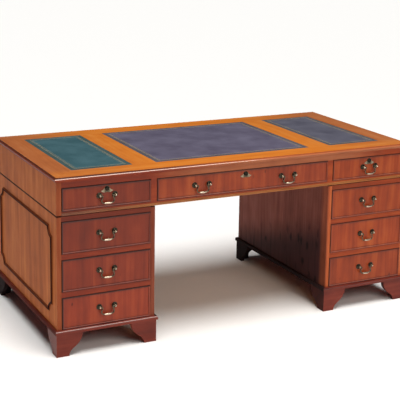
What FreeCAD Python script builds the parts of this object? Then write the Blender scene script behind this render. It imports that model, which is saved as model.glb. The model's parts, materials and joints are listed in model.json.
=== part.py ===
"""Partners desk on two pedestals, with nine drawers, two cupboards and swan-neck handles.

Millimetres. The origin is on the floor under the middle of the desk, +X to the right of a person
who sits at the front, +Y to the back and +Z up. The drawer fronts face -Y.
"""
import FreeCAD
import Part
import Sketcher
import math
import os
import re

SIZES = {
    # The whole desk
    "top_width": 1830,
    "top_depth": 900,
    "desk_height": 798,
    # Top board and its moulded edge
    "top_thickness": 20,
    "top_overhang": 9,
    "top_step": 2.5,
    "top_step_inset": 9,
    "top_nose": 14,
    "top_nose_radius": 6.5,
    "top_strip_inset": 5,
    # Leather panels let into the top
    "leather_thickness": 1.5,
    "leather_end_margin": 113,
    "leather_front_margin": 114,
    "leather_side_width": 287,
    "leather_spacing": 115,
    # Upper case
    "end_thickness": 22,
    "top_rail": 26,
    "upper_opening": 103,
    "bottom_rail": 19,
    "frame_thickness": 20,
    "bottom_rail_depth": 60,
    "rail_bead_radius": 4,
    "divider_width": 28,
    "partition_thickness": 20,
    "bottom_board": 12,
    "back_panel": 18,
    "back_bead_width": 7,
    "back_bead_height": 3,
    # Pedestals
    "pedestal_width": 455,
    "side_thickness": 20,
    "pedestal_top_rail": 22,
    "drawer_rail": 24,
    "drawer_rail_depth": 40,
    "joint_gap": 3,
    "pedestal_top_board": 18,
    "runner_width": 24,
    "runner_height": 18,
    "wall_thickness": 12,
    "shelf_thickness": 16,
    "shelf_height": 353,
    "shelf_setback": 12,
    # Plinth and bracket feet
    "foot_height": 103,
    "plinth_thickness": 18,
    "plinth_reach": 13,
    "plinth_radius": 8,
    "foot_reach": 7,
    "foot_thickness": 20,
    "foot_width": 120,
    "foot_base": 58,
    "foot_drop": 14,
    "foot_hollow_radius": 40,
    "foot_hollow_turn": 60,
    "glue_block": 30,
    "glue_block_height": 95,
    # Applied moulding with scooped corners
    "ring_margin": 57,
    "ring_width": 13,
    "ring_height": 3.5,
    "ring_bead_width": 6,
    "ring_bead_height": 4,
    "ring_scoop_radius": 42,
    "door_ring_margin": 45,
    # Drawers
    "front_gap": 1.5,
    "front_thickness": 20,
    "front_bead_width": 6,
    "front_bead_height": 3,
    "front_bead_radius": 2,
    "drawer_length": 430,
    "drawer_side": 12,
    "drawer_back": 12,
    "drawer_bottom": 6,
    "drawer_bottom_rise": 8,
    "drawer_groove": 5,
    "drawer_side_clearance": 2,
    "drawer_run_clearance": 0.3,
    "drawer_head_room": 8,
    "drawer_rear_room": 6,
    "tail_length": 14,
    "tail_share": 0.45,
    "tail_flare": 2.3,
    # Swan-neck handles
    "handle_centres": 72,
    "handle_rise": 7,
    "handle_spread": 223,
    "upper_handle_height": 54,
    "pivot_reach": 13,
    "fitting_reach": 22,
    "rosette_radius": 13,
    "rosette_edge": 1.8,
    "rosette_height": 4.5,
    "pommel_neck_radius": 4.5,
    "pommel_radius": 6.5,
    "pommel_tip_radius": 2.5,
    "bolt_radius": 2.5,
    "bolt_clearance": 0.2,
    "bolt_tail": 6,
    "nut_radius": 5.5,
    "nut_height": 4,
    "bail_radius": 2.9,
    "bail_clearance": 0.08,
    "bail_gap": 2,
    "bail_pin": 4,
    "bail_turn": 4,
    "neck_radius": 9,
    "neck_angle": 35,
    "neck_length": 3,
    "belly_radius": 14,
    "grip_half": 14,
    "grip_end_radius": 3.5,
    "grip_radius": 4.6,
    # Locks of the upper drawers
    "lock_height": 82,
    "plate_thickness": 1.6,
    "plate_half_width": 29,
    "plate_low": 15,
    "plate_wing_low": 9,
    "plate_wing_radius": 26,
    "plate_shoulder_half": 11,
    "plate_shoulder_high": 4,
    "plate_shoulder_radius": 24,
    "plate_lobe_radius": 12,
    "lock_rim_radius": 10,
    "lock_rim_height": 3.5,
    "barrel_radius": 8.5,
    "barrel_tail": 8,
    "cylinder_radius": 6,
    "cylinder_clearance": 0.08,
    "cylinder_proud": 0.6,
    "key_slot_width": 1.6,
    "key_slot_height": 7,
    "key_slot_depth": 3,
    "cam_thickness": 3,
    "cam_width": 12,
    "cam_length": 27,
    "cam_clearance": 0.3,
    # Cupboard doors, hinges and knobs
    "door_gap": 1.5,
    "leaf_thickness": 1.5,
    "leaf_gap": 0.4,
    "leaf_width": 24,
    "knuckle_radius": 4,
    "hinge_length": 63,
    "hinge_inset": 70,
    "hinge_pin_radius": 1.6,
    "hinge_clearance": 0.08,
    "knuckle_gap": 0.3,
    "knob_inset": 29,
    "knob_drop": 152.5,
    "knob_radius": 11,
    "knob_neck_radius": 4.5,
    "knob_neck_height": 11,
    "knob_flare_radius": 9,
    "knob_dome": 5,
}
DRAWER_ROWS = 3
SHALLOW_TAIL_COUNT = 2
DEEP_TAIL_COUNT = 3
NUT_SIDES = 6
SIDES = {"left": -1, "right": 1}

doc = FreeCAD.newDocument("partners_desk")
sheet = doc.addObject("Spreadsheet::Sheet", "sizes")
for row, (alias, size) in enumerate(SIZES.items(), start=1):
    sheet.set(f"A{row}", alias)
    sheet.set(f"B{row}", str(size))
    sheet.setAlias(f"B{row}", alias)
doc.recompute()

nodes = []


# Binding sizes to the sheet
def formula(text):
    """The text with each size's name turned into a reference to its cell."""
    return re.sub(r"[a-z_]+", lambda word: f"sizes.{word[0]}" if word[0] in SIZES else word[0], text)


def bind(item, **formulas):
    for name, text in formulas.items():
        item.setExpression(name, formula(text))


def number(text):
    found = sheet.evalExpression(formula(text))
    return float(getattr(found, "Value", found))


def place(item, x="0", y="0", z="0", turn=0):
    """Put an item at bound coordinates, turned by some degrees about Z."""
    item.Placement = FreeCAD.Placement(FreeCAD.Vector(), FreeCAD.Rotation(FreeCAD.Vector(0, 0, 1), turn))
    for axis, text in zip("xyz", (x, y, z)):
        item.setExpression(f".Placement.Base.{axis}", formula(text))
    return item


def node(name, *items):
    """Name one sub-part: a single item, or a group of separate solids."""
    if len(items) == 1:
        whole = items[0]
    else:
        whole = doc.addObject("Part::Compound", name)
        whole.Links = list(items)
    whole.Label = name
    nodes.append(whole)
    return whole


# Boards, rods and cuts
def board(name, x, y, z):
    """A rectangular board between two bound planes on each axis."""
    item = doc.addObject("Part::Box", name)
    for prop, (low, high) in zip(("Length", "Width", "Height"), (x, y, z)):
        bind(item, **{prop: f"({high}) - ({low})"})
    return place(item, x[0], y[0], z[0])


def rod(name, axis, radius, length, x, y, z):
    """A cylinder that starts at a bound point and runs along +X, +Y or +Z."""
    item = doc.addObject("Part::Cylinder", name)
    bind(item, Radius=radius, Height=length)
    place(item, x, y, z)
    item.Placement.Rotation = FreeCAD.Rotation(FreeCAD.Vector(0, 0, 1), FreeCAD.Vector(*axis))
    return item


def group(name, items):
    item = doc.addObject("Part::Compound", name)
    item.Links = items
    return item


def cut(name, base, *tools):
    item = doc.addObject("Part::Cut", name)
    item.Base = base
    item.Tool = tools[0] if len(tools) == 1 else group(f"{name}_tools", list(tools))
    return item


def fuse(name, *items):
    item = doc.addObject("Part::MultiFuse", name)
    item.Shapes = list(items)
    item.Refine = True
    return item


def across(side, near, far):
    """Two planes, given by their distance from the middle of the desk, on the left or the right."""
    return (near, far) if SIDES[side] > 0 else (f"-({far})", f"-({near})")


# Bodies and sketches
def new_body(name):
    return doc.addObject("PartDesign::Body", name)


def plane_of(body, role):
    return next(feature for feature in body.Origin.OriginFeatures if feature.Role == role)


def sketch_on(body, role, name, lift="0", slide="0"):
    """A sketch on an origin plane, lifted along its normal and slid along its second axis."""
    sketch = body.newObject("Sketcher::SketchObject", f"{body.Name}_{name}")
    sketch.AttachmentSupport = [(plane_of(body, role), "")]
    sketch.MapMode = "FlatFace"
    sketch.setExpression(".AttachmentOffset.Base.y", formula(slide))
    sketch.setExpression(".AttachmentOffset.Base.z", formula(lift))
    return sketch


def pin(sketch, geometry, position, x, y):
    """Tie one point of a sketch to bound distances from the sketch's origin."""
    for kind, text in (("DistanceX", x), ("DistanceY", y)):
        index = sketch.addConstraint(
            Sketcher.Constraint(kind, -1, 1, geometry, position, number(text))
        )
        sketch.setExpression(f"Constraints[{index}]", formula(text))


def size_radius(sketch, geometry, text):
    index = sketch.addConstraint(Sketcher.Constraint("Radius", geometry, number(text)))
    sketch.setExpression(f"Constraints[{index}]", formula(text))


def arc_between(start, end, radius, bulge):
    """The lesser arc from start to end, swelling to the left or the right of the way there."""
    chord = end - start
    away = FreeCAD.Vector(-chord.y, chord.x, 0).normalize()
    rise = math.sqrt(max(radius ** 2 - (chord.Length / 2) ** 2, 0))
    centre = (start + end) * 0.5 + away * (-rise if bulge == "left" else rise)
    first, last = (end, start) if bulge == "left" else (start, end)
    angles = [math.atan2(point.y - centre.y, point.x - centre.x) for point in (first, last)]
    if angles[1] < angles[0]:
        angles[1] += 2 * math.pi
    return Part.ArcOfCircle(Part.Circle(centre, FreeCAD.Vector(0, 0, 1), radius), *angles)


def outline(sketch, corners, arcs=None, closed=True):
    """Lines and arcs through bound corners. arcs maps a corner to (bulge, radius) of the edge after it."""
    arcs = arcs or {}
    points = [FreeCAD.Vector(number(x), number(y), 0) for x, y in corners]
    count = len(corners) if closed else len(corners) - 1
    ends = []
    for index in range(count):
        start, end = points[index], points[(index + 1) % len(points)]
        if index in arcs:
            bulge, radius = arcs[index]
            shape = arc_between(start, end, number(radius), bulge)
        else:
            bulge = "right"
            shape = Part.LineSegment(start, end)
        geometry = sketch.addGeometry(shape, False)
        ends.append((geometry, (2, 1) if bulge == "left" else (1, 2)))
    for index in range(count if closed else count - 1):
        geometry, (_, far) = ends[index]
        following, (near, _) = ends[(index + 1) % count]
        sketch.addConstraint(Sketcher.Constraint("Coincident", geometry, far, following, near))
    for index, corner in enumerate(corners):
        geometry, (near, far) = ends[min(index, count - 1)]
        pin(sketch, geometry, near if index < count else far, *corner)
    for index, (_, radius) in arcs.items():
        size_radius(sketch, ends[index][0], radius)
    return sketch


def rectangle(sketch, x, y):
    return outline(sketch, [(x[0], y[0]), (x[1], y[0]), (x[1], y[1]), (x[0], y[1])])


def centred(text):
    return (f"-({text}) / 2", f"({text}) / 2")


def circle(sketch, x, y, radius):
    ring = Part.Circle(FreeCAD.Vector(number(x), number(y), 0), FreeCAD.Vector(0, 0, 1), number(radius))
    geometry = sketch.addGeometry(ring, False)
    pin(sketch, geometry, 3, x, y)
    size_radius(sketch, geometry, radius)
    return sketch


def pad(body, sketch, length, reverse=False):
    feature = body.newObject("PartDesign::Pad", f"{sketch.Name}_pad")
    feature.Profile = sketch
    feature.Reversed = reverse
    bind(feature, Length=length)
    return feature


def pocket(body, sketch, depth, both_ways=False):
    """Cut a sketch into the body, against the sketch's normal or to both sides of it."""
    feature = body.newObject("PartDesign::Pocket", f"{sketch.Name}_pocket")
    feature.Profile = sketch
    feature.Midplane = both_ways
    bind(feature, Length=depth)
    return feature


def revolve(body, sketch, axis):
    feature = body.newObject("PartDesign::Revolution", f"{sketch.Name}_turned")
    feature.Profile = sketch
    feature.ReferenceAxis = (sketch, [axis])
    feature.Angle = 360
    return feature


def fillet(body, base, radius, wanted):
    """Round the edges of the last feature whose middle point is wanted."""
    doc.recompute()
    edges = [
        f"Edge{index}"
        for index, edge in enumerate(base.Shape.Edges, start=1)
        if wanted(edge.CenterOfMass)
    ]
    feature = body.newObject("PartDesign::Fillet", f"{base.Name}_round")
    feature.Base = (base, edges)
    bind(feature, Radius=radius)
    return feature


# Planes that the whole desk shares
case_half = "(top_width / 2 - top_overhang)"
case_back = "(top_depth / 2 - top_overhang)"
case_front = f"-{case_back}"
frame_back = f"({case_front} + frame_thickness)"
case_top = "(desk_height - top_thickness)"
upper_drawer_top = f"({case_top} - top_rail)"
upper_drawer_floor = f"({upper_drawer_top} - upper_opening)"
pedestal_top = f"({upper_drawer_floor} - bottom_rail)"
pedestal_side_top = f"({pedestal_top} - joint_gap)"
pedestal_inner = f"({case_half} - pedestal_width)"
plinth_top = "(foot_height + plinth_thickness)"
opening_near = f"({pedestal_inner} + side_thickness)"
opening_far = f"({case_half} - side_thickness)"
upper_far = f"({case_half} - end_thickness)"
centre_half = f"({opening_near} - divider_width)"
top_board_underside = f"({pedestal_top} - pedestal_top_board)"
first_drawer_top = f"({pedestal_side_top} - pedestal_top_rail)"
drawer_opening = (
    f"(({first_drawer_top} - {plinth_top} - {DRAWER_ROWS - 1} * drawer_rail) / {DRAWER_ROWS})"
)
front_back = f"({case_front} + front_thickness)"
drawer_end = f"({front_back} + drawer_length)"
wall_front = f"({drawer_end} + drawer_rear_room)"
wall_back = f"({wall_front} + wall_thickness)"
pivot_y = f"({case_front} - pivot_reach)"


def row_top(row):
    return f"({first_drawer_top} - {row} * ({drawer_opening} + drawer_rail))"


def row_floor(row):
    return f"({row_top(row)} - {drawer_opening})"


# The top: a board with a quirked, rounded edge, and three leather panels let in flush
def make_top():
    body = new_body("top_body")
    nose = sketch_on(body, "XY_Plane", "nose", lift="top_thickness - top_step - top_nose")
    rectangle(nose, centred("top_width"), centred("top_depth"))
    block = pad(body, nose, "top_nose")
    middle = number("top_thickness - top_step - top_nose / 2")
    off_middle = number("top_nose / 4")
    fillet(body, block, "top_nose_radius", lambda at: abs(at.z - middle) > off_middle)
    field = sketch_on(body, "XY_Plane", "field")
    rectangle(field, centred("top_width - 2 * top_step_inset"), centred("top_depth - 2 * top_step_inset"))
    pad(body, field, "top_thickness")
    strip = sketch_on(body, "XY_Plane", "strip")
    rectangle(strip, centred("top_width - 2 * top_strip_inset"), centred("top_depth - 2 * top_strip_inset"))
    pad(body, strip, "top_thickness - top_step - top_nose / 2")
    place(body, z=case_top)

    depth = centred("top_depth - 2 * leather_front_margin")
    height = ("desk_height - leather_thickness", "desk_height")
    side_far = "(top_width / 2 - leather_end_margin)"
    side_near = f"({side_far} - leather_side_width)"
    panels = {
        "leather_left": across("left", side_near, side_far),
        "leather_centre": centred(f"2 * ({side_near} - leather_spacing)"),
        "leather_right": across("right", side_near, side_far),
    }
    leathers = [node(name, board(name, width, depth, height)) for name, width in panels.items()]
    node("top_board", cut("top_cut", body, *leathers))


# The upper case: ends, front frame, partitions, bottom board and a back with three beaded panels
def make_upper_case():
    ends = [
        board(f"{side}_end", across(side, upper_far, case_half), (case_front, case_back),
              (pedestal_top, case_top))
        for side in SIDES
    ]
    node("upper_case_ends", *ends)

    full = centred(f"2 * {upper_far}")
    rail = board("lower_rail", full, (case_front, f"{case_front} + bottom_rail_depth"),
                 (pedestal_top, upper_drawer_floor))
    bead_rod = rod("bead_rod", (1, 0, 0), "rail_bead_radius", f"2 * {upper_far}", full[0], case_front,
                   f"{pedestal_top} + rail_bead_radius")
    pieces = [
        board("upper_rail", full, (case_front, frame_back), (upper_drawer_top, case_top)),
        rail,
        cut("rail_bead", bead_rod, rail),
    ]
    for side in SIDES:
        pieces.append(board(f"{side}_divider", across(side, centre_half, opening_near),
                            (case_front, frame_back), (upper_drawer_floor, upper_drawer_top)))
    node("upper_case_front_frame", *pieces)

    panel_front = f"({case_back} - back_panel)"
    partitions = [
        board(f"{side}_partition", across(side, f"{opening_near} - partition_thickness", opening_near),
              (frame_back, panel_front), (upper_drawer_floor, case_top))
        for side in SIDES
    ]
    node("upper_case_partitions", *partitions)
    node("upper_case_bottom", board(
        "dust_board", full, (f"{case_front} + bottom_rail_depth", panel_front),
        (f"{upper_drawer_floor} - bottom_board", upper_drawer_floor)))

    back = [board("back_board", full, (panel_front, case_back), (pedestal_top, case_top))]
    fields = {
        "left": across("left", opening_near, upper_far),
        "centre": centred(f"2 * {centre_half}"),
        "right": across("right", opening_near, upper_far),
    }
    height = (upper_drawer_floor, upper_drawer_top)
    for name, width in fields.items():
        outer = board(f"{name}_bead_outer", width, (case_back, f"{case_back} + back_bead_height"), height)
        inner = board(
            f"{name}_bead_inner",
            (f"{width[0]} + back_bead_width", f"{width[1]} - back_bead_width"),
            (case_back, f"{case_back} + back_bead_height"),
            (f"{height[0]} + back_bead_width", f"{height[1]} - back_bead_width"))
        back.append(cut(f"{name}_back_bead", outer, inner))
    node("upper_case_back_panel", *back)


# An applied moulding: a flat ring with a bead on it, its corners scooped out by quarter circles
def scooped_plate(name, across_axis, span, height, depth, inset):
    """A thin plate inset from a ring's outline, with its corners scooped."""
    low_u, high_u = (f"({span[0]}) + {inset}", f"({span[1]}) - {inset}")
    low_z, high_z = (f"({height[0]}) + {inset}", f"({height[1]}) - {inset}")
    if across_axis == "y":
        plate = board(f"{name}_plate", depth, (low_u, high_u), (low_z, high_z))
    else:
        plate = board(f"{name}_plate", (low_u, high_u), depth, (low_z, high_z))
    scoops = []
    for index, (u, z) in enumerate([(u, z) for u in span for z in height]):
        thickness = f"({depth[1]}) - ({depth[0]})"
        radius = f"ring_scoop_radius + {inset}"
        if across_axis == "y":
            scoops.append(rod(f"{name}_scoop_{index}", (1, 0, 0), radius, thickness, depth[0], u, z))
        else:
            scoops.append(rod(f"{name}_scoop_{index}", (0, 1, 0), radius, thickness, u, depth[0], z))
    return cut(f"{name}_scooped", plate, *scoops)


def applied_ring(name, across_axis, span, height, face, outward):
    """The moulding on a face that looks along +X or +Y (outward 1) or the other way (outward -1)."""
    layers = []
    bead_inset = "(ring_width - ring_bead_width) / 2"
    steps = {
        "flat": ("0", "ring_width", "0", "ring_height"),
        "bead": (bead_inset, f"({bead_inset} + ring_bead_width)", "ring_height",
                 "ring_height + ring_bead_height"),
    }
    for step, (start, stop, near, far) in steps.items():
        if outward > 0:
            depth = (f"{face} + {near}", f"{face} + {far}")
        else:
            depth = (f"{face} - ({far})", f"{face} - ({near})")
        outer = scooped_plate(f"{name}_{step}_outer", across_axis, span, height, depth, start)
        inner = scooped_plate(f"{name}_{step}_inner", across_axis, span, height, depth, stop)
        layers.append(cut(f"{name}_{step}", outer, inner))
    return fuse(f"{name}_ring", *layers)


# The pedestals: sides, inner boards, rails and runners, plinths and feet
def make_pedestals():
    sides, boards, rails, rings = [], [], [], []
    depth = (case_front, case_back)
    height = (plinth_top, pedestal_side_top)
    for side, sign in SIDES.items():
        opening = across(side, opening_near, opening_far)
        sides.append(board(f"{side}_outer_side", across(side, opening_far, case_half), depth, height))
        sides.append(board(f"{side}_inner_side", across(side, pedestal_inner, opening_near), depth, height))
        boards.append(board(f"{side}_pedestal_top", opening, (frame_back, case_back),
                            (top_board_underside, pedestal_top)))
        boards.append(board(f"{side}_wall", opening, (wall_front, wall_back),
                            (plinth_top, top_board_underside)))
        boards.append(board(f"{side}_shelf", opening,
                            (wall_back, f"{case_back} - frame_thickness - shelf_setback"),
                            ("shelf_height", "shelf_height + shelf_thickness")))
        rails.append(board(f"{side}_top_rail", opening, (case_front, frame_back),
                           (first_drawer_top, pedestal_side_top)))
        rail_back = f"({case_front} + drawer_rail_depth)"
        for row in range(DRAWER_ROWS - 1):
            level = row_floor(row)
            rails.append(board(f"{side}_rail_{row}", opening, (case_front, rail_back),
                               (f"{level} - drawer_rail", level)))
            for wall, strip in {
                "outer": across(side, f"{opening_far} - runner_width", opening_far),
                "inner": across(side, opening_near, f"{opening_near} + runner_width"),
            }.items():
                rails.append(board(f"{side}_{wall}_runner_{row}", strip, (rail_back, wall_front),
                                   (f"{level} - runner_height", level)))
        rings.append(applied_ring(
            f"{side}_side", "y",
            (f"{case_front} + ring_margin", f"{case_back} - ring_margin"),
            (f"{plinth_top} + ring_margin", f"{pedestal_side_top} - ring_margin"),
            case_half if sign > 0 else f"-{case_half}", sign))
    node("pedestal_sides", *sides)
    node("pedestal_boards", *boards)
    node("drawer_rails", *rails)
    node("side_mouldings", *rings)
    node("plinths", *[make_plinth(side) for side in SIDES])
    node("bracket_feet", *[piece for side in SIDES for piece in make_feet(side)])


def make_plinth(side):
    body = new_body(f"{side}_plinth")
    sketch = sketch_on(body, "XY_Plane", "outline")
    width = "pedestal_width + 2 * plinth_reach"
    rectangle(sketch, centred(width), centred(f"2 * ({case_back} + plinth_reach)"))
    block = pad(body, sketch, "plinth_thickness")
    near_top = number("plinth_thickness - plinth_radius / 2")
    fillet(body, block, "plinth_radius", lambda at: at.z > near_top)
    middle = f"({case_half} - pedestal_width / 2)"
    return place(body, x=f"{SIDES[side]} * {middle}", z="foot_height")


def bracket_outline(sketch):
    """Half a bracket foot: straight at the corner, an ogee from the base out to the plinth."""
    hollow_x = "(foot_base + foot_hollow_radius * (1 - cos(foot_hollow_turn)))"
    hollow_z = "(foot_hollow_radius * sin(foot_hollow_turn))"
    swell_z = "(foot_height - foot_drop)"
    run = f"(foot_width - {hollow_x})"
    climb = f"({swell_z} - {hollow_z})"
    rise = f"({climb} * sin(foot_hollow_turn) - {run} * cos(foot_hollow_turn))"
    swell_radius = f"(({run} * {run} + {climb} * {climb}) / (2 * {rise}))"
    corners = [("0", "0"), ("foot_base", "0"), (hollow_x, hollow_z), ("foot_width", swell_z),
               ("foot_width", "foot_height"), ("0", "foot_height")]
    return outline(sketch, corners, {1: ("left", "foot_hollow_radius"), 2: ("right", swell_radius)})


def bracket(name, along):
    """One board of a foot, from the corner along X or Y, mitred where it meets the other board."""
    body = new_body(name)
    profile = bracket_outline(sketch_on(body, "XZ_Plane" if along == "x" else "YZ_Plane", "profile"))
    pad(body, profile, "foot_thickness", reverse=along == "x")
    mitre = sketch_on(body, "XY_Plane", "mitre")
    third = ("0", "foot_thickness") if along == "x" else ("foot_thickness", "0")
    outline(mitre, [("0", "0"), ("foot_thickness", "foot_thickness"), third])
    pocket(body, mitre, "3 * foot_height", both_ways=True)
    return body


def make_feet(side):
    """Four feet, each two mitred brackets round a glue block, turned to the corners of a pedestal."""
    pieces = []
    middle = f"({SIDES[side]} * ({case_half} - pedestal_width / 2))"
    half_width = "(pedestal_width / 2 + foot_reach)"
    half_depth = f"({case_back} + foot_reach)"
    corners = [(-1, -1, 0), (1, -1, 90), (1, 1, 180), (-1, 1, 270)]
    for index, (to_x, to_y, turn) in enumerate(corners):
        corner_x = f"{middle} + {to_x} * {half_width}"
        corner_y = f"{to_y} * {half_depth}"
        for along in "xy":
            body = bracket(f"{side}_bracket_{index}_{along}", along)
            pieces.append(place(body, corner_x, corner_y, turn=turn))
        inset = "(foot_thickness + glue_block)"
        x = ("foot_thickness", inset) if to_x < 0 else (f"-{inset}", "-foot_thickness")
        y = ("foot_thickness", inset) if to_y < 0 else (f"-{inset}", "-foot_thickness")
        pieces.append(board(
            f"{side}_glue_block_{index}",
            (f"{corner_x} + {x[0]}", f"{corner_x} + {x[1]}"),
            (f"{corner_y} + {y[0]}", f"{corner_y} + {y[1]}"),
            ("foot_height - glue_block_height", "foot_height")))
    return pieces


# A drawer: a beaded front, and a box whose sides are dovetailed into the front
def drawer_front(name, width, height, holes):
    """The front board with a raised bead round its field, bored for bolts and lock."""
    middle_x = f"(({width[0]}) + ({width[1]})) / 2"
    middle_z = f"(({height[0]}) + ({height[1]})) / 2"
    wide = f"({width[1]} - ({width[0]}) - 2 * front_gap)"
    high = f"({height[1]} - ({height[0]}) - 2 * front_gap)"
    body = new_body(f"{name}_front_body")
    thick = "front_thickness + front_bead_height"
    block = pad(body, rectangle(sketch_on(body, "XZ_Plane", "block"), centred(wide), centred(high)), thick)
    near_face = -number("front_thickness + front_bead_height / 2")
    fillet(body, block, "front_bead_radius", lambda at: at.y < near_face)
    field = sketch_on(body, "XZ_Plane", "field", lift=thick)
    rectangle(field, centred(f"{wide} - 2 * front_bead_width"), centred(f"{high} - 2 * front_bead_width"))
    pocket(body, field, "front_bead_height")
    bores = sketch_on(body, "XZ_Plane", "bores", lift=thick)
    for x, z, radius in holes:
        circle(bores, f"{x} - {middle_x}", f"{z} - {middle_z}", radius)
    pocket(body, bores, f"2 * ({thick})")
    return place(body, middle_x, front_back, middle_z)


def drawer_side(name, thickness, height, tails):
    """A side board with flared tails at its front end. Returns the board and its tails."""
    back = (front_back, drawer_end)
    plank = board(f"{name}_plank", thickness, back, height)
    step = f"(({height[1]} - ({height[0]})) / {tails})"
    wedges = []
    for index in range(tails):
        tail = doc.addObject("Part::Wedge", f"{name}_tail_{index}")
        half = f"({step} * tail_share / 2)"
        bind(tail, Xmin="0", Xmax=f"{thickness[1]} - ({thickness[0]})", X2min="0",
             X2max=f"{thickness[1]} - ({thickness[0]})", Ymin="0", Ymax="tail_length",
             Zmin=f"-{half} - tail_flare", Zmax=f"{half} + tail_flare", Z2min=f"-{half}", Z2max=half)
        place(tail, thickness[0], f"{front_back} - tail_length",
              f"{height[0]} + ({index} + 0.5) * {step}")
        wedges.append(tail)
    return fuse(f"{name}_tailed", plank, *wedges), wedges


def make_drawer(name, width, height, tails, handles, locked):
    """One drawer in an opening: front, box, hardware, bails and lock. handles lists their middles."""
    holes = [
        (f"{x} + {way} * handle_centres / 2", z, "bolt_radius + bolt_clearance")
        for x, z in handles for way in (-1, 1)
    ]
    lock_x = f"(({width[0]}) + ({width[1]})) / 2"
    lock_z = f"({height[0]} + lock_height)"
    if locked:
        holes.append((lock_x, lock_z, "barrel_radius"))
    front = drawer_front(name, width, height, holes)

    floor = f"({height[0]} + drawer_run_clearance)"
    side_height = (floor, f"{height[1]} - drawer_head_room")
    outer = (f"({width[0]} + drawer_side_clearance)", f"({width[1]} - drawer_side_clearance)")
    inner = (f"({outer[0]} + drawer_side)", f"({outer[1]} - drawer_side)")
    bottom_top = f"({floor} + drawer_bottom_rise + drawer_bottom)"
    bottom = board(f"{name}_bottom", (f"{inner[0]} - drawer_groove", f"{inner[1]} + drawer_groove"),
                   (f"{front_back} - drawer_groove", drawer_end),
                   (f"{floor} + drawer_bottom_rise", bottom_top))
    left, left_tails = drawer_side(f"{name}_left_side", (outer[0], inner[0]), side_height, tails)
    right, right_tails = drawer_side(f"{name}_right_side", (inner[1], outer[1]), side_height, tails)
    rear = board(f"{name}_rear", inner, (f"{drawer_end} - drawer_back", drawer_end),
                 (bottom_top, side_height[1]))
    node(f"{name}_front", cut(f"{name}_front_cut", front, bottom, *left_tails, *right_tails))
    node(f"{name}_box", cut(f"{name}_left_grooved", left, bottom),
         cut(f"{name}_right_grooved", right, bottom), bottom, rear)

    hardware = []
    for index, (x, z) in enumerate(handles):
        for way in (-1, 1):
            post = f"{name}_post_{index}_{'left' if way < 0 else 'right'}"
            hardware += make_post(post, f"{x} + {way} * handle_centres / 2", z)
        label = f"{name}_bail" if len(handles) == 1 else f"{name}_bail_{('left', 'right')[index]}"
        node(label, make_bail(label, x, z))
    if locked:
        hardware += make_lock(name, lock_x, lock_z)
    node(f"{name}_hardware", *hardware)


# A swan-neck handle: two turned posts with rosettes, and the bail that swings between them
def make_post(name, x, z):
    """A turned rosette and pommel, cross-bored for the bail, with its bolt and nut."""
    body = new_body(name)
    profile = sketch_on(body, "XY_Plane", "profile")
    neck_end = "(pivot_reach - sqrt(pommel_radius^2 - pommel_neck_radius^2))"
    tip_start = "(pivot_reach + sqrt(pommel_radius^2 - pommel_tip_radius^2))"
    corners = [
        ("0", "front_thickness + bolt_tail"),
        ("bolt_radius", "front_thickness + bolt_tail"),
        ("bolt_radius", "0"),
        ("rosette_radius", "0"),
        ("rosette_radius", "-rosette_edge"),
        ("pommel_neck_radius", "-rosette_height"),
        ("pommel_neck_radius", f"-{neck_end}"),
        ("pommel_tip_radius", f"-{tip_start}"),
        ("pommel_tip_radius", "pommel_tip_radius - fitting_reach"),
        ("0", "-fitting_reach"),
    ]
    arcs = {
        4: ("right", "rosette_radius"),
        6: ("left", "pommel_radius"),
        8: ("left", "pommel_tip_radius"),
    }
    outline(profile, corners, arcs)
    revolve(body, profile, "V_Axis")
    eye = circle(sketch_on(body, "YZ_Plane", "eye"), "-pivot_reach", "0", "bail_radius + bail_clearance")
    pocket(body, eye, "4 * pommel_radius", both_ways=True)
    place(body, x, case_front, z)

    nut = doc.addObject("Part::Prism", f"{name}_hexagon")
    nut.Polygon = NUT_SIDES
    bind(nut, Circumradius="nut_radius", Height="nut_height")
    place(nut, x, front_back, z)
    nut.Placement.Rotation = FreeCAD.Rotation(FreeCAD.Vector(1, 0, 0), -90)
    bore = rod(f"{name}_nut_bore", (0, 1, 0), "bolt_radius + bolt_clearance / 2", "nut_height",
               x, front_back, z)
    return [body, cut(f"{name}_nut", nut, bore)]


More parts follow.
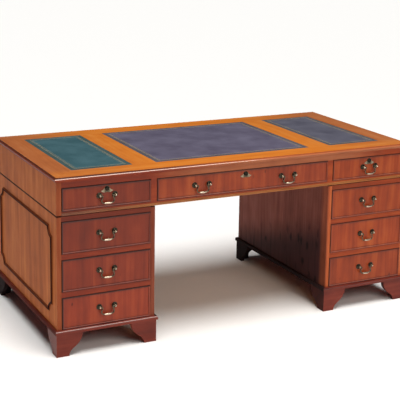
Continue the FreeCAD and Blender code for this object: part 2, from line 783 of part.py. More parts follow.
def make_bail(name, x, z):
    """The swinging bail: pins in the posts, swan necks, rounded bellies and a barrel grip."""
    body = new_body(f"{name}_body")
    pin_start = "(handle_centres / 2 - pommel_radius - bail_gap)"
    turn_x = f"({pin_start} - bail_turn)"
    neck_x = f"({turn_x} + neck_radius * (1 - cos(neck_angle)))"
    neck_z = "(0 - bail_turn - neck_radius * sin(neck_angle))"
    belly_x = f"({neck_x} + neck_length * sin(neck_angle))"
    belly_z = f"({neck_z} - neck_length * cos(neck_angle))"
    bar_x = f"({belly_x} - belly_radius * cos(neck_angle))"
    bar_z = f"({belly_z} - belly_radius * (1 + sin(neck_angle)))"
    path = sketch_on(body, "XZ_Plane", "path")
    side_x = f"({bar_x} + belly_radius)"
    side_z = f"({bar_z} + belly_radius)"
    corners = [("0", bar_z), (bar_x, bar_z), (side_x, side_z), (belly_x, belly_z), (neck_x, neck_z),
               (turn_x, "-bail_turn"), (pin_start, "0"), ("handle_centres / 2 + bail_pin", "0")]
    arcs = {
        1: ("right", "belly_radius"),
        2: ("right", "belly_radius"),
        4: ("left", "neck_radius"),
        5: ("left", "bail_turn"),
    }
    outline(path, corners, arcs, closed=False)
    section = circle(sketch_on(body, "YZ_Plane", "section"), "0", bar_z, "bail_radius")
    arm = body.newObject("PartDesign::AdditivePipe", f"{name}_arm")
    arm.Profile = section
    arm.Spine = (path, [])
    both = body.newObject("PartDesign::Mirrored", f"{name}_arms")
    both.Originals = [arm]
    both.MirrorPlane = (plane_of(body, "YZ_Plane"), [""])
    body.Tip = both
    grip = sketch_on(body, "XZ_Plane", "grip", slide=bar_z)
    swell = "(grip_radius - grip_end_radius)"
    crown = f"((grip_half^2 + {swell}^2) / (2 * {swell}))"
    outline(grip, [("-grip_half", "0"), ("grip_half", "0"), ("grip_half", "grip_end_radius"),
                   ("-grip_half", "grip_end_radius")], {2: ("right", crown)})
    revolve(body, grip, "H_Axis")
    return place(body, x, pivot_y, z)


# A lock: the winged plate, the barrel through the drawer front, and the cylinder with its cam
def make_lock(name, x, z):
    plate = new_body(f"{name}_plate")
    wings = sketch_on(plate, "XZ_Plane", "wings")
    corners = [
        ("0", "-plate_low"),
        ("plate_half_width", "-plate_wing_low"),
        ("plate_shoulder_half", "plate_shoulder_high"),
        ("-plate_shoulder_half", "plate_shoulder_high"),
        ("-plate_half_width", "-plate_wing_low"),
    ]
    arcs = {
        0: ("right", "plate_wing_radius"),
        1: ("left", "plate_shoulder_radius"),
        2: ("right", "plate_lobe_radius"),
        3: ("left", "plate_shoulder_radius"),
        4: ("right", "plate_wing_radius"),
    }
    outline(wings, corners, arcs)
    circle(wings, "0", "0", "barrel_radius")
    pad(plate, wings, "plate_thickness")
    place(plate, x, case_front, z)

    barrel = new_body(f"{name}_barrel")
    profile = sketch_on(barrel, "XY_Plane", "profile")
    bore = "(cylinder_radius + cylinder_clearance)"
    face = "(plate_thickness + lock_rim_height)"
    tail = "(front_thickness + barrel_tail)"
    outline(profile, [
        (bore, tail), ("barrel_radius", tail), ("barrel_radius", "-plate_thickness"),
        ("lock_rim_radius", "-plate_thickness"), ("lock_rim_radius", f"-{face} + lock_rim_height / 2"),
        ("lock_rim_radius - lock_rim_height / 2", f"-{face}"), (bore, f"-{face}")],
        {4: ("left", "lock_rim_height / 2")})
    revolve(barrel, profile, "V_Axis")
    place(barrel, x, case_front, z)

    cylinder = new_body(f"{name}_cylinder_body")
    plug = sketch_on(cylinder, "XZ_Plane", "plug", lift=f"{face} + cylinder_proud")
    circle(plug, "0", "0", "cylinder_radius")
    reach = f"({face} + cylinder_proud + {tail} + cam_clearance)"
    pad(cylinder, plug, f"{reach} + cam_thickness", reverse=True)
    slot = sketch_on(cylinder, "XZ_Plane", "key_slot", lift=f"{face} + cylinder_proud")
    rectangle(slot, centred("key_slot_width"), centred("key_slot_height"))
    pocket(cylinder, slot, "key_slot_depth")
    cam = sketch_on(cylinder, "XZ_Plane", "cam", lift=f"-{tail} - cam_clearance")
    half = "cam_width / 2"
    outline(cam, [(f"-{half}", "0"), ("0", f"-{half}"), (f"cam_length - {half}", f"-{half}"),
                  ("cam_length", "0"), (f"cam_length - {half}", half), ("0", half)],
            {0: ("right", half), 2: ("right", half), 3: ("right", half), 5: ("right", half)})
    pad(cylinder, cam, "cam_thickness", reverse=True)
    node(f"{name}_lock_cylinder", place(cylinder, x, case_front, z))
    return [plate, barrel]


# The cupboard doors at the back, with butt hinges at their outer edges and turned knobs
def make_doors():
    fixed = []
    hinge_gap = "(2 * leaf_thickness + leaf_gap)"
    height = (f"{plinth_top} + door_gap", f"{top_board_underside} - door_gap")
    for side, sign in SIDES.items():
        width = across(side, f"{opening_near} + door_gap", f"{opening_far} - {hinge_gap}")
        panel = board(f"{side}_door_panel", width, (f"{case_back} - frame_thickness", case_back), height)
        ring = applied_ring(
            f"{side}_door", "x",
            (f"{width[0]} + door_ring_margin", f"{width[1]} - door_ring_margin"),
            (f"{height[0]} + door_ring_margin", f"{height[1]} - door_ring_margin"), case_back, 1)
        node(f"{side}_door", panel, ring)
        moving = [make_knob(f"{side}_knob", f"{sign} * ({opening_near} + door_gap + knob_inset)")]
        for name, low in {
            "lower": f"({height[0]} + hinge_inset)",
            "upper": f"({height[1]} - hinge_inset - hinge_length)",
        }.items():
            steady, swinging = make_hinge(f"{side}_{name}_hinge", side, low)
            fixed.append(steady)
            moving.append(swinging)
        node(f"{side}_door_hardware", *moving)
    node("hinge_leaves", *fixed)


def make_hinge(name, side, low):
    """A butt hinge: the fixed leaf with its end knuckles and pin, and the leaf on the door's edge."""
    axis_x = f"({SIDES[side]} * ({opening_far} - leaf_thickness - leaf_gap / 2))"
    axis_y = f"({case_back} + knuckle_radius)"
    third = "(hinge_length / 3)"
    fixed_x = across(side, f"{opening_far} - leaf_thickness", opening_far)
    moving_x = across(side, f"{opening_far} - 2 * leaf_thickness - leaf_gap",
                      f"{opening_far} - leaf_thickness - leaf_gap")
    flat = (f"{case_back} - leaf_width", f"{case_back} - knuckle_gap")
    lip = (f"{case_back} - knuckle_gap", axis_y)

    def knuckle(part, x, start, stop):
        tab = board(f"{name}_{part}_tab", x, lip, (f"{low} + {start}", f"{low} + {stop}"))
        barrel = rod(f"{name}_{part}_knuckle", (0, 0, 1), "knuckle_radius", f"{stop} - ({start})",
                     axis_x, axis_y, f"{low} + {start}")
        return [tab, barrel]

    fixed = [board(f"{name}_fixed_leaf", fixed_x, flat, (low, f"{low} + hinge_length"))]
    fixed += knuckle("low", fixed_x, "0", f"{third} - knuckle_gap")
    fixed += knuckle("high", fixed_x, f"2 * {third} + knuckle_gap", "hinge_length")
    fixed.append(rod(f"{name}_pin", (0, 0, 1), "hinge_pin_radius", "hinge_length", axis_x, axis_y, low))
    moving = [board(f"{name}_moving_leaf", moving_x, flat, (low, f"{low} + hinge_length"))]
    moving += knuckle("middle", moving_x, third, f"2 * {third}")
    bore = rod(f"{name}_bore", (0, 0, 1), "hinge_pin_radius + hinge_clearance", "hinge_length",
               axis_x, axis_y, low)
    swinging = cut(f"{name}_swinging", fuse(f"{name}_moving", *moving), bore)
    return fuse(f"{name}_steady", *fixed), swinging


def make_knob(name, x):
    body = new_body(name)
    profile = sketch_on(body, "XY_Plane", "profile")
    crown = "((knob_radius^2 + knob_dome^2) / (2 * knob_dome))"
    corners = [
        ("0", "0"), ("rosette_radius", "0"), ("rosette_radius", "rosette_edge"),
        ("knob_neck_radius", "rosette_height"), ("knob_neck_radius", "knob_neck_height"),
        ("knob_radius", "fitting_reach - knob_dome"), ("0", "fitting_reach"),
    ]
    arcs = {2: ("left", "rosette_radius"), 4: ("left", "knob_flare_radius"), 5: ("right", crown)}
    outline(profile, corners, arcs)
    revolve(body, profile, "V_Axis")
    return place(body, x, case_back, f"{top_board_underside} - door_gap - knob_drop")


def make_drawers():
    upper = (upper_drawer_floor, upper_drawer_top)
    upper_z = f"({upper_drawer_floor} + upper_handle_height)"
    centre = centred(f"2 * {centre_half}")
    make_drawer("upper_centre_drawer", centre, upper, SHALLOW_TAIL_COUNT,
                [("-handle_spread", upper_z), ("handle_spread", upper_z)], True)
    for side in SIDES:
        width = across(side, opening_near, upper_far)
        middle = f"(({width[0]}) + ({width[1]})) / 2"
        make_drawer(f"upper_{side}_drawer", width, upper, SHALLOW_TAIL_COUNT, [(middle, upper_z)], True)
        width = across(side, opening_near, opening_far)
        middle = f"(({width[0]}) + ({width[1]})) / 2"
        for row in range(DRAWER_ROWS):
            height = (row_floor(row), row_top(row))
            handle_z = f"(({height[0]} + {height[1]}) / 2 + handle_rise)"
            make_drawer(f"{side}_drawer_{row + 1}", width, height, DEEP_TAIL_COUNT,
                        [(middle, handle_z)], False)


make_top()
make_upper_case()
make_pedestals()
make_drawers()
make_doors()
doc.recompute()

for item in doc.Objects:
    if "Invalid" in item.State or "Error" in item.State:
        raise RuntimeError(f"{item.Name} failed: {item.State}")
for item in nodes:
    if item.Shape.isNull() or not item.Shape.isValid():
        raise RuntimeError(f"{item.Label} has no valid shape")

os.makedirs("parts", exist_ok=True)
for item in nodes:
    item.Shape.exportStep(os.path.join("parts", f"{item.Label}.step"))
print(len(nodes), "nodes,", sum(len(item.Shape.Solids) for item in nodes), "solids")
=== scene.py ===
# %% [markdown]
# # A partners desk, dressed in Blender
#
# The desk comes to us as a packed CAD model: boards, drawers, handles and locks at their real size,
# each on the body that it moves with. This lesson gives the pieces their finishes, lays tooled
# leather into the top, and sets up the floor, the light and the camera.

# %% Load the packed desk
import json
import math
import bpy
import numpy as np
from mathutils import Matrix, Vector

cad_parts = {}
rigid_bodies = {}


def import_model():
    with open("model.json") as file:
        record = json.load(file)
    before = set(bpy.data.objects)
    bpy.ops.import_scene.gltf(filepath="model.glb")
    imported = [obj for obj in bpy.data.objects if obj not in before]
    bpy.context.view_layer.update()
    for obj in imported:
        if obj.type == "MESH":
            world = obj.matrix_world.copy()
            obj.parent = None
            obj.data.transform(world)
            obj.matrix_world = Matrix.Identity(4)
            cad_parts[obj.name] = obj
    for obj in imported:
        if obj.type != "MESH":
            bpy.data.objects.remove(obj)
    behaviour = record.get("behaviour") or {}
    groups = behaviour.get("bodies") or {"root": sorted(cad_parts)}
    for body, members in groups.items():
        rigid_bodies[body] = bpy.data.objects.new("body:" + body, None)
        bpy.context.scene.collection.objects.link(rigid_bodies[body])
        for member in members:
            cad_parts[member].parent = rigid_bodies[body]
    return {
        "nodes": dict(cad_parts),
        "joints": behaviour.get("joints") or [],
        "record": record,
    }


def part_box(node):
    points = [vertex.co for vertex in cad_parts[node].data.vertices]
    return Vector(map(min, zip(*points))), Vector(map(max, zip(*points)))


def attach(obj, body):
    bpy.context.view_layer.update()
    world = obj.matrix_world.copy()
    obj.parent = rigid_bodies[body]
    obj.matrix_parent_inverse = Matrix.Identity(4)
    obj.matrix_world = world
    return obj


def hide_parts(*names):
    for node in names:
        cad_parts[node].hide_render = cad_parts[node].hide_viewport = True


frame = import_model()
bpy.context.view_layer.update()
nodes = frame["nodes"]
joints = {joint["name"]: joint for joint in frame["joints"]}

# %% [markdown]
# ## Writing finishes as formulas
#
# A finish is a tree of shader nodes. Adding nodes one by one hides the idea behind them, so a signal
# here is a number that varies over the surface, and sums and products of signals add the Math nodes.
# The formula of a grain can then be read from one line. Every pattern starts from Object
# coordinates, which are metres in the desk's own frame, so a figure keeps its size on every piece.

# %% A signal: a number that varies over the surface
MM = 0.001
SOFT_EDGE = 1 * MM


class Signal:
    """A number over a surface. Arithmetic on signals adds Math nodes to the finish."""

    def __init__(self, finish, socket):
        self.finish = finish
        self.socket = socket

    def __add__(self, other):
        return self.finish.math("ADD", self, other)

    def __sub__(self, other):
        return self.finish.math("SUBTRACT", self, other)

    def __rsub__(self, number):
        return self.finish.math("SUBTRACT", number, self)

    def __mul__(self, other):
        return self.finish.math("MULTIPLY", self, other)

    def __truediv__(self, other):
        return self.finish.math("DIVIDE", self, other)

    def __abs__(self):
        return self.finish.math("ABSOLUTE", self)

    def floor(self):
        return self.finish.math("FLOOR", self)

    def sine(self):
        return self.finish.math("SINE", self)

    def root(self):
        return self.finish.math("SQRT", self)

    def fold(self, width):
        """Runs from 0 to width and back again, over and over."""
        return self.finish.math("PINGPONG", self, width)

    def larger(self, other):
        return self.finish.math("MAXIMUM", self, other)

    def smaller(self, other):
        return self.finish.math("MINIMUM", self, other)

    def rise(self, start, stop):
        """0 before start, 1 after stop, and a smooth S in between. It falls if start is the larger."""
        ends = {"Value": self, "From Min": start, "From Max": stop}
        made = self.finish.node("ShaderNodeMapRange", ends, interpolation_type="SMOOTHSTEP")
        return Signal(self.finish, made.outputs["Result"])

    def within(self, low, high, soft=SOFT_EDGE):
        """1 between low and high: a rise after the one times a fall before the other."""
        return self.rise(low, low + soft) * self.rise(high, high - soft)


def nearest(first, *others):
    """The smallest of several distances."""
    for other in others:
        first = first.smaller(other)
    return first


print("signals can be added and multiplied, and edges are", SOFT_EDGE, "m soft")

# %% [markdown]
# ## A finish
#
# Each finish is one material with the Principled shader. A number that is the same all over goes
# onto the shader's own socket, which keeps it when the desk is exported. What varies is joined to
# the socket as a signal or a colour.

# %% A finish: one material and the calls that add nodes to it
class Finish:
    """One material. Plain numbers go straight onto the Principled shader's own sockets."""

    def __init__(self, name, **numbers):
        self.material = bpy.data.materials.new(name)
        self.material.use_nodes = True
        self.tree = self.material.node_tree
        self.shader = self.tree.nodes["Principled BSDF"]
        for socket, number in numbers.items():
            self.shader.inputs[socket.replace("_", " ")].default_value = number

    def join(self, value, socket):
        if isinstance(value, Signal):
            value = value.socket
        if isinstance(value, bpy.types.NodeSocket):
            self.tree.links.new(value, socket)
        else:
            socket.default_value = value

    def node(self, kind, inputs=None, **settings):
        made = self.tree.nodes.new(kind)
        for setting, value in settings.items():
            setattr(made, setting, value)
        for key, value in (inputs or {}).items():
            self.join(value, made.inputs[key])
        return made

    def math(self, operation, *values):
        made = self.node("ShaderNodeMath", dict(enumerate(values)), operation=operation)
        return Signal(self, made.outputs[0])

    def parts(self, coordinates):
        """The x, y and z of one output of the texture coordinates."""
        vector = self.node("ShaderNodeTexCoord").outputs[coordinates]
        split = self.node("ShaderNodeSeparateXYZ", {"Vector": vector})
        return [Signal(self, socket) for socket in split.outputs]

    def position(self):
        """The x, y and z of a point, in metres."""
        return self.parts("Object")

    def facing(self):
        """The x, y and z parts of the direction that the surface looks along, in the desk's frame."""
        return self.parts("Normal")

    def point(self, u, v, w):
        return self.node("ShaderNodeCombineXYZ", {"X": u, "Y": v, "Z": w}).outputs["Vector"]

    def noise(self, u, v, w=0.0, detail=2.0, roughness=0.5):
        """Soft random hills, about one for each whole step of u, v or w, from about 0.2 to 0.8."""
        place = self.point(u, v, w)
        settings = {"Vector": place, "Scale": 1.0, "Detail": detail, "Roughness": roughness}
        return Signal(self, self.node("ShaderNodeTexNoise", settings).outputs[0])

    def cells(self, u, v):
        """The distance to the nearest of many random points, one for each unit cell."""
        settings = {"Vector": self.point(u, v, 0.0), "Scale": 1.0}
        made = self.node("ShaderNodeTexVoronoi", settings, voronoi_dimensions="2D")
        return Signal(self, made.outputs["Distance"])

    def chance(self, whole):
        """A random number from 0 to 1 for each whole number."""
        made = self.node("ShaderNodeTexWhiteNoise", {"W": whole}, noise_dimensions="1D")
        return Signal(self, made.outputs["Value"])

    def colours(self, signal, stops):
        """A colour for each value of a signal, blended between stops of (value, colour)."""
        ramp = self.node("ShaderNodeValToRGB", {"Fac": signal})
        elements = ramp.color_ramp.elements
        for _ in stops[2:]:
            elements.new(1.0)
        for element, (value, colour) in zip(elements, stops):
            element.position = value
            element.color = (*colour, 1.0)
        return ramp.outputs["Color"]

    def blend(self, share, first, second):
        """The first colour where share is 0 and the second where it is 1."""
        made = self.node("ShaderNodeMix", {0: share, 6: first, 7: second}, data_type="RGBA")
        return made.outputs[2]

    def between(self, share, first, second):
        """The first signal where share is 0 and the second where it is 1."""
        made = self.node("ShaderNodeMix", {0: share, 2: first, 3: second}, data_type="FLOAT")
        return Signal(self, made.outputs[0])

    def wax(self, weight):
        """A clear coat, as thick as the weight says."""
        self.join(weight, self.shader.inputs["Coat Weight"])

    def paint(self, colour, roughness, relief=None, depth=0.0):
        """Join a colour and a roughness, and perhaps a relief of some depth, to the shader."""
        self.join(colour, self.shader.inputs["Base Color"])
        self.join(roughness, self.shader.inputs["Roughness"])
        if relief is not None:
            bump = self.node("ShaderNodeBump", {"Height": relief, "Distance": depth, "Strength": 1.0})
            self.join(bump.outputs["Normal"], self.shader.inputs["Normal"])
        return self.material


print("a finish has", sum(not name.startswith("_") for name in vars(Finish)), "calls")

# %% [markdown]
# ## Colours
#
# Colours are easiest to pick as a screen shows them, from 0 to 255. Shaders count in linear light
# instead, so every colour here goes through the screen's curve once.

# %% Colours as a screen shows them
def shade(red, green, blue):
    """A screen colour in linear light: straight near black, and a power of 2.4 above that."""
    seen = np.array([red, green, blue]) / 255
    linear = np.where(seen > 0.04045, ((seen + 0.055) / 1.055) ** 2.4, seen / 12.92)
    return tuple(float(part) for part in linear)


def full(colour):
    """A colour with its opacity, as a socket wants it."""
    return (*colour, 1.0)


print("a mid red-brown in linear light:", [round(part, 3) for part in shade(150, 62, 40)])

# %% [markdown]
# ## Yew veneer
#
# The boards are faced with yew: thin leaves laid side by side and opened like a book, so each leaf
# mirrors its neighbour. A picture of wood would show the seams of its repeat, and a plain noise has
# no direction. So the position across the grain is folded back and forth over one leaf's width,
# which mirrors the leaves for free, and noise stretched along the grain gives the streaks.

# %% The figure of the wood
TURN = 2 * math.pi
WANDER = 0.07
# How many lie in a metre, across the grain and along it.
STREAKS = (26, 1.5)
PATCHES = (14, 9)
PORES = (560, 14)
RINGS = 40
# How much each of them counts in the tone.
STREAK_SHARE, PATCH_SHARE, RING_SHARE, LEAF_SHARE, PORE_SHARE = 0.9, 0.4, 0.03, 0.12, 0.12
TONE_STOPS = (0.15, 0.5, 0.85)


def figure(wood, along, across, leaf=0.17, contrast=1.0):
    """The tone of a wood, about 0 to 1, with its grain along one signal, and its pores.

    The position across wanders by a slow noise and is folded over one leaf. Streaks and patches are
    noise of the folded position, stretched along the grain; rings are the sine of the folded position
    plus the streaks; pores are a much finer stretched noise. The tone is the weighted sum of these
    and of one random shade for each leaf. A different pair of leaves gets a different noise.
    """
    slow = wood.noise(across * 2.6, along * 1.3) - 0.5
    wander = across + slow * WANDER
    folded = wander.fold(leaf)
    pair = (wander / (2 * leaf)).floor()

    def stretched(counts, layer, **settings):
        return wood.noise(folded * counts[0], along * counts[1], layer, **settings)

    streaks = stretched(STREAKS, pair * 3.7, detail=4.0, roughness=0.6) - 0.5
    patches = stretched(PATCHES, pair * 1.9) - 0.5
    pores = stretched(PORES, pair)
    rings = ((folded * RINGS + streaks * 2.4) * TURN).sine()
    own_shade = wood.chance((wander / leaf).floor()) - 0.5
    broad = streaks * STREAK_SHARE + patches * PATCH_SHARE + rings * RING_SHARE + own_shade * LEAF_SHARE
    return (broad + (pores - 0.5) * PORE_SHARE) * contrast + 0.5, pores


def toned(wood, tone, tones):
    """The colour of a tone, blended between a dark, a middle and a light one."""
    return wood.colours(tone, list(zip(TONE_STOPS, tones)))


def two_toned(wood, share, tone, first, second):
    """The colour of a tone in the first tones where share is 0, and in the second where it is 1."""
    return wood.blend(share, toned(wood, tone, first), toned(wood, tone, second))


def knots(wood, along, across, wide, long, size):
    """1 inside long ragged spots, in cells as wide and as long as given.

    The distance to the cell's random point is made ragged by a noise four times as fine.
    """
    u, v = across / wide, along / long
    ragged = wood.noise(u * 4, v * 4, detail=3.0) - 0.5
    return (wood.cells(u, v) + ragged * 0.4).rise(size, size * 0.2)


print("across the grain a metre has about", STREAKS[0], "streaks and", PORES[0], "pores")

# %% [markdown]
# ## Polish and wax
#
# Most of the woods share one polish. It is a little rougher over the open pores, which also lie
# lower. Edges that a duster passes over carry wax, a clear coat that catches the light. Each wood has
# a dark, a middle and a light tone, set by comparing renders with the photograph.

# %% The polish, the wax and the tones
PORE_DEPTH = 0.08 * MM
PORE_ROUGHNESS = 0.12
GLOSS = 0.2
# How rough a satin, a plain and a dull polish are.
SATIN, PLAIN, DULL = 0.3, 0.45, 0.6
KNOT = full(shade(30, 13, 14))
# A dark colour for painted shade in gaps and quirks and beside the bead.
GROOVE_SHADE = full(shade(40, 14, 10))
RED_TONES = [shade(89, 30, 18), shade(125, 45, 23), shade(154, 66, 32)]
MID_TONES = [shade(91, 31, 16), shade(132, 51, 23), shade(165, 78, 34)]
WARM_TONES = [shade(97, 32, 12), shade(143, 55, 18), shade(176, 85, 32)]
SIDE_TONES = [shade(132, 64, 33), shade(181, 98, 48), shade(211, 129, 68)]


def polish(wood, colour, pores, roughness):
    """A polished wood: a roughness that the pores add to, and a relief of the pores."""
    return wood.paint(colour, pores * PORE_ROUGHNESS + roughness, pores, PORE_DEPTH)


def waxed_nose(wood, nose):
    """Wax along a nose, where it looks to the front or the back and a little upwards."""
    _, y, z = wood.facing()
    return nose * abs(y).rise(0.2, 0.5) * z.rise(0.05, 0.2) * z.rise(0.75, 0.55)


print("the fronts go from", RED_TONES[1], "to", WARM_TONES[1])

# %% [markdown]
# ## Which board has which wood
#
# The packed record names a slot for every node, and the slots say which wood the maker used. Boards
# of one slot can share a finish, because Object coordinates already differ from board to board.
#
# The base comes first. Plinths and feet are the darkest wood of the front. On the plinths' inner
# edges and on the back feet a nearly black stain stands for the deep shade of the photograph, which
# the studio light alone doesn't give. A finish can find these places by where they are and by the way
# they face.

# %% The plinths and the feet
slot_of = {part["node"]: part["material_slot"] for part in frame["record"]["subparts"]}
SIDE_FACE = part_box("pedestal_sides")[1].x
PEDESTAL_WIDTH = 0.455
KNEEHOLE_FACE = SIDE_FACE - PEDESTAL_WIDTH
PLINTH_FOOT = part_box("plinths")[0].z
BASE_TONES = [shade(77, 26, 19), shade(112, 42, 29), shade(139, 61, 44)]
# A nearly black colour that stands for deep shade: painted shade.
PAINTED_SHADE = full(shade(24, 15, 16))


def dress(node, material):
    """Put a finish in the material slot of a CAD node, whose mesh stays as it is."""
    nodes[node].data.materials.clear()
    nodes[node].data.materials.append(material)


def dress_slot(slot, material):
    """Put a finish on every node of a slot, and give their names."""
    dressed = [node for node in slot_of if slot_of[node] == slot]
    for node in dressed:
        dress(node, material)
    return dressed


def base_finish():
    """The plinths and the feet, with their grain along X and wax on the plinths' rounded noses.

    A face looks into the kneehole where x and the x part of its facing differ in sign, and out at an
    end where they agree. Painted shade, nearly black, is strongest on the plinths' inner edges and on
    the back feet, apart from the faces that look to the back. The ends of the plinths are darkened a
    little with it, and dull.
    """
    wood = Finish("yew_base", Specular_IOR_Level=GLOSS, Coat_IOR=2.2, Coat_Roughness=0.12)
    x, y, z = wood.position()
    face_x, face_y, _ = wood.facing()
    tone, pores = figure(wood, x, y + z, leaf=0.4)
    plinth = z.rise(PLINTH_FOOT - SOFT_EDGE, PLINTH_FOOT)
    foot = z.rise(PLINTH_FOOT, PLINTH_FOOT - SOFT_EDGE)
    sideways = x * face_x
    inner_edge = abs(x).rise(KNEEHOLE_FACE + SOFT_EDGE, KNEEHOLE_FACE) * plinth
    inner_edge = inner_edge * abs(face_y).rise(0.7, 0.3) * 0.95
    inward = (sideways.rise(-0.1, -0.3) * 0.7).larger(inner_edge)
    behind = foot * y.rise(0.2, 0.35) * face_y.rise(0.7, 0.3) * 0.96
    end = sideways.rise(0.1, 0.3) * plinth
    # Painted shade: on the kneehole side and the back feet, and a little on the ends of the plinths.
    stained = inward.larger(behind).larger(end * 0.4)
    dull = end.larger(behind).larger(inward) * 0.55
    wood.wax(waxed_nose(wood, plinth))
    return polish(wood, wood.blend(stained, toned(wood, tone, BASE_TONES), PAINTED_SHADE), pores, dull + SATIN)


print("base:", dress_slot("base_wood", base_finish()))

# %% [markdown]
# ## Moulding, carcase and linings
#
# The moulding on the sides is a dark bead on a brown flat. Inside, the carcase is plain wood, lipped
# with side veneer where an edge shows, and the drawers are lined with a paler wood. None of these
# needs more than the figure and a rule for where one wood meets another.

# %% The moulding, the carcase and the drawer linings
FLAT_HEIGHT = 3.6 * MM
FLAT_TONES = [shade(96, 46, 28), shade(130, 68, 40), shade(154, 92, 56)]
DARK_TONES = [shade(26, 10, 8), shade(42, 18, 14), shade(62, 30, 22)]
# A lighter brown for the moulding's upward faces: painted light from above.
LIT_UPPER_EDGE = full(shade(112, 58, 38))
PLAIN_TONES = [shade(150, 104, 62), shade(186, 138, 88), shade(206, 164, 112)]
LINING_TONES = [shade(176, 136, 88), shade(206, 170, 118), shade(224, 192, 146)]


def moulding_finish():
    """Applied moulding: dark on its raised bead, brown on the flat below it, and painted light where it
    looks up.
    """
    wood = Finish("dark_moulding", Specular_IOR_Level=0.03)
    x, y, z = wood.position()
    tone, pores = figure(wood, z, x + y)
    bead = (abs(x) - SIDE_FACE).rise(FLAT_HEIGHT, FLAT_HEIGHT + 0.3 * MM)
    colour = two_toned(wood, bead, tone, FLAT_TONES, DARK_TONES)
    # Upward faces are painted lighter, as if lit from above.
    upward = wood.facing()[2].rise(0.3, 0.6)
    return polish(wood, wood.blend(upward, colour, LIT_UPPER_EDGE), pores, DULL)


def carcase_finish():
    """Plain boards with their grain along Y, lipped on the edges that look to the front or the back."""
    wood = Finish("plain_carcase", Specular_IOR_Level=GLOSS)
    x, y, z = wood.position()
    tone, pores = figure(wood, y, x + z, leaf=0.3)
    lipped = abs(wood.facing()[1]).rise(0.5, 0.6)
    return polish(wood, two_toned(wood, lipped, tone, PLAIN_TONES, SIDE_TONES), pores, PLAIN)


def lining_finish():
    """Drawer sides, backs and bottoms, with their grain along Y."""
    wood = Finish("drawer_lining", Specular_IOR_Level=GLOSS)
    x, y, z = wood.position()
    tone, pores = figure(wood, y, x + z, leaf=0.3)
    return polish(wood, toned(wood, tone, LINING_TONES), pores, PLAIN)


dress_slot("dark_moulding", moulding_finish())
dress_slot("carcase_wood", carcase_finish())
print("linings:", len(dress_slot("drawer_wood", lining_finish())), "drawer boxes")

# %% [markdown]
# ## The sides
#
# The sides are veneered with upright leaves, and their front edges are lipped with a strip of redder
# wood that catches the light beside the drawers; the lipping is darker to the left, partly as painted
# light, and painted darker beside the kneehole as shade. Inside the kneehole the veneer is painted
# darker as shade, less so towards the back, and low down it is full of long knots. It also darkens
# towards the floor, again to stand for shade. A finish can tell the edge from the face by the way the
# surface faces: the Normal output of the coordinates is 1 along the axis that it looks along.

# %% Sides with lipped edges and knots
# The kneehole's veneer in painted shade, lighter towards the back.
INNER_SHADE_TONES = [shade(80, 38, 31), shade(118, 65, 55), shade(142, 87, 76)]
INNER_BACK_SHADE_TONES = [shade(104, 53, 45), shade(152, 87, 75), shade(184, 114, 102)]
# Lipping tones: darker to the left, partly painted light, and a painted-shade tone for beside the
# kneehole.
LEFT_LIPPING = [shade(100, 44, 26), shade(138, 70, 43), shade(164, 96, 62)]
SHADED_LIPPING = [shade(84, 35, 24), shade(116, 56, 40), shade(140, 78, 58)]
RIGHT_LIPPING = [shade(128, 57, 32), shade(174, 89, 52), shade(204, 122, 76)]
DUSK = full(shade(42, 24, 28))
CASE_JOINT = (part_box("upper_case_ends")[0].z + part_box("pedestal_sides")[1].z) / 2


def kneehole_colour(wood, tone, x, y, z):
    """Veneer painted dark as shade and lighter to the back, with knots, streaks and dusk towards the
    floor.

    The dusk's upper edge slopes: it is a ramp of z plus a share of y. A slow noise chooses where
    knots lie, a stretched one draws the streaks. Near the front edge the lipping's colour begins.
    """
    near_floor = (z + y * 0.3).rise(0.37, 0.2)
    places = wood.noise(y * 5, z * 4, x * 3).rise(0.40, 0.54)
    streaks = wood.noise((x + y) * 50, z * 2.5, detail=3.0).rise(0.54, 0.70) * 0.6
    spots = knots(wood, z, x + y, wide=0.06, long=0.12, size=0.28) * places
    spots = spots.larger(streaks) * near_floor
    # Painted shade, less of it towards the back.
    colour = two_toned(wood, y.rise(-0.4, 0.4), tone, INNER_SHADE_TONES, INNER_BACK_SHADE_TONES)
    colour = wood.blend(near_floor * 0.86, colour, DUSK)
    colour = wood.blend(spots, colour, KNOT)
    return wood.blend(y.rise(-0.375, -0.41) * 0.4, colour, toned(wood, tone, RIGHT_LIPPING))


def lipping_colour(wood, tone, x):
    """The front edges' tones: ramps over x from left to right, partly painted light, and painted shade
    beside the kneehole.
    """
    colour = two_toned(wood, x.rise(-0.75, -0.55), tone, LEFT_LIPPING, SHADED_LIPPING)
    colour = wood.blend(x.rise(-0.3, 0.3), colour, toned(wood, tone, RIGHT_LIPPING))
    # Painted shade on the lipping beside the kneehole.
    beside = x.rise(KNEEHOLE_FACE + 8 * MM, KNEEHOLE_FACE + 5 * MM) * x.rise(0.0, 0.1) * 0.6
    return wood.blend(beside, colour, toned(wood, tone, SHADED_LIPPING))


def side_finish():
    """Upright veneer. Faces that look to the front take the tones of the lipping.

    The kneehole's faces are those nearest to the middle. A dark line of painted shade marks the shadow
    gap at the joint of the cases.
    """
    wood = Finish("yew_sides", Specular_IOR_Level=0.06)
    x, y, z = wood.position()
    tone, pores = figure(wood, z, x + y, leaf=0.21, contrast=0.85)
    kneehole = abs(x).rise(KNEEHOLE_FACE + 5 * MM, KNEEHOLE_FACE + 1 * MM)
    colour = wood.blend(kneehole, toned(wood, tone, SIDE_TONES), kneehole_colour(wood, tone, x, y, z))
    lipped = wood.facing()[1].rise(-0.5, -0.6)
    colour = wood.blend(lipped, colour, lipping_colour(wood, tone, x))
    # Painted shade along the shadow gap at the joint of the cases.
    joint = abs(z - CASE_JOINT).rise(5.0 * MM, 3.5 * MM) * 0.85
    return wood.paint(wood.blend(joint, colour, GROOVE_SHADE), pores * 0.1 + 0.5, pores, PORE_DEPTH)


print("sides:", dress_slot("side_veneer", side_finish()))

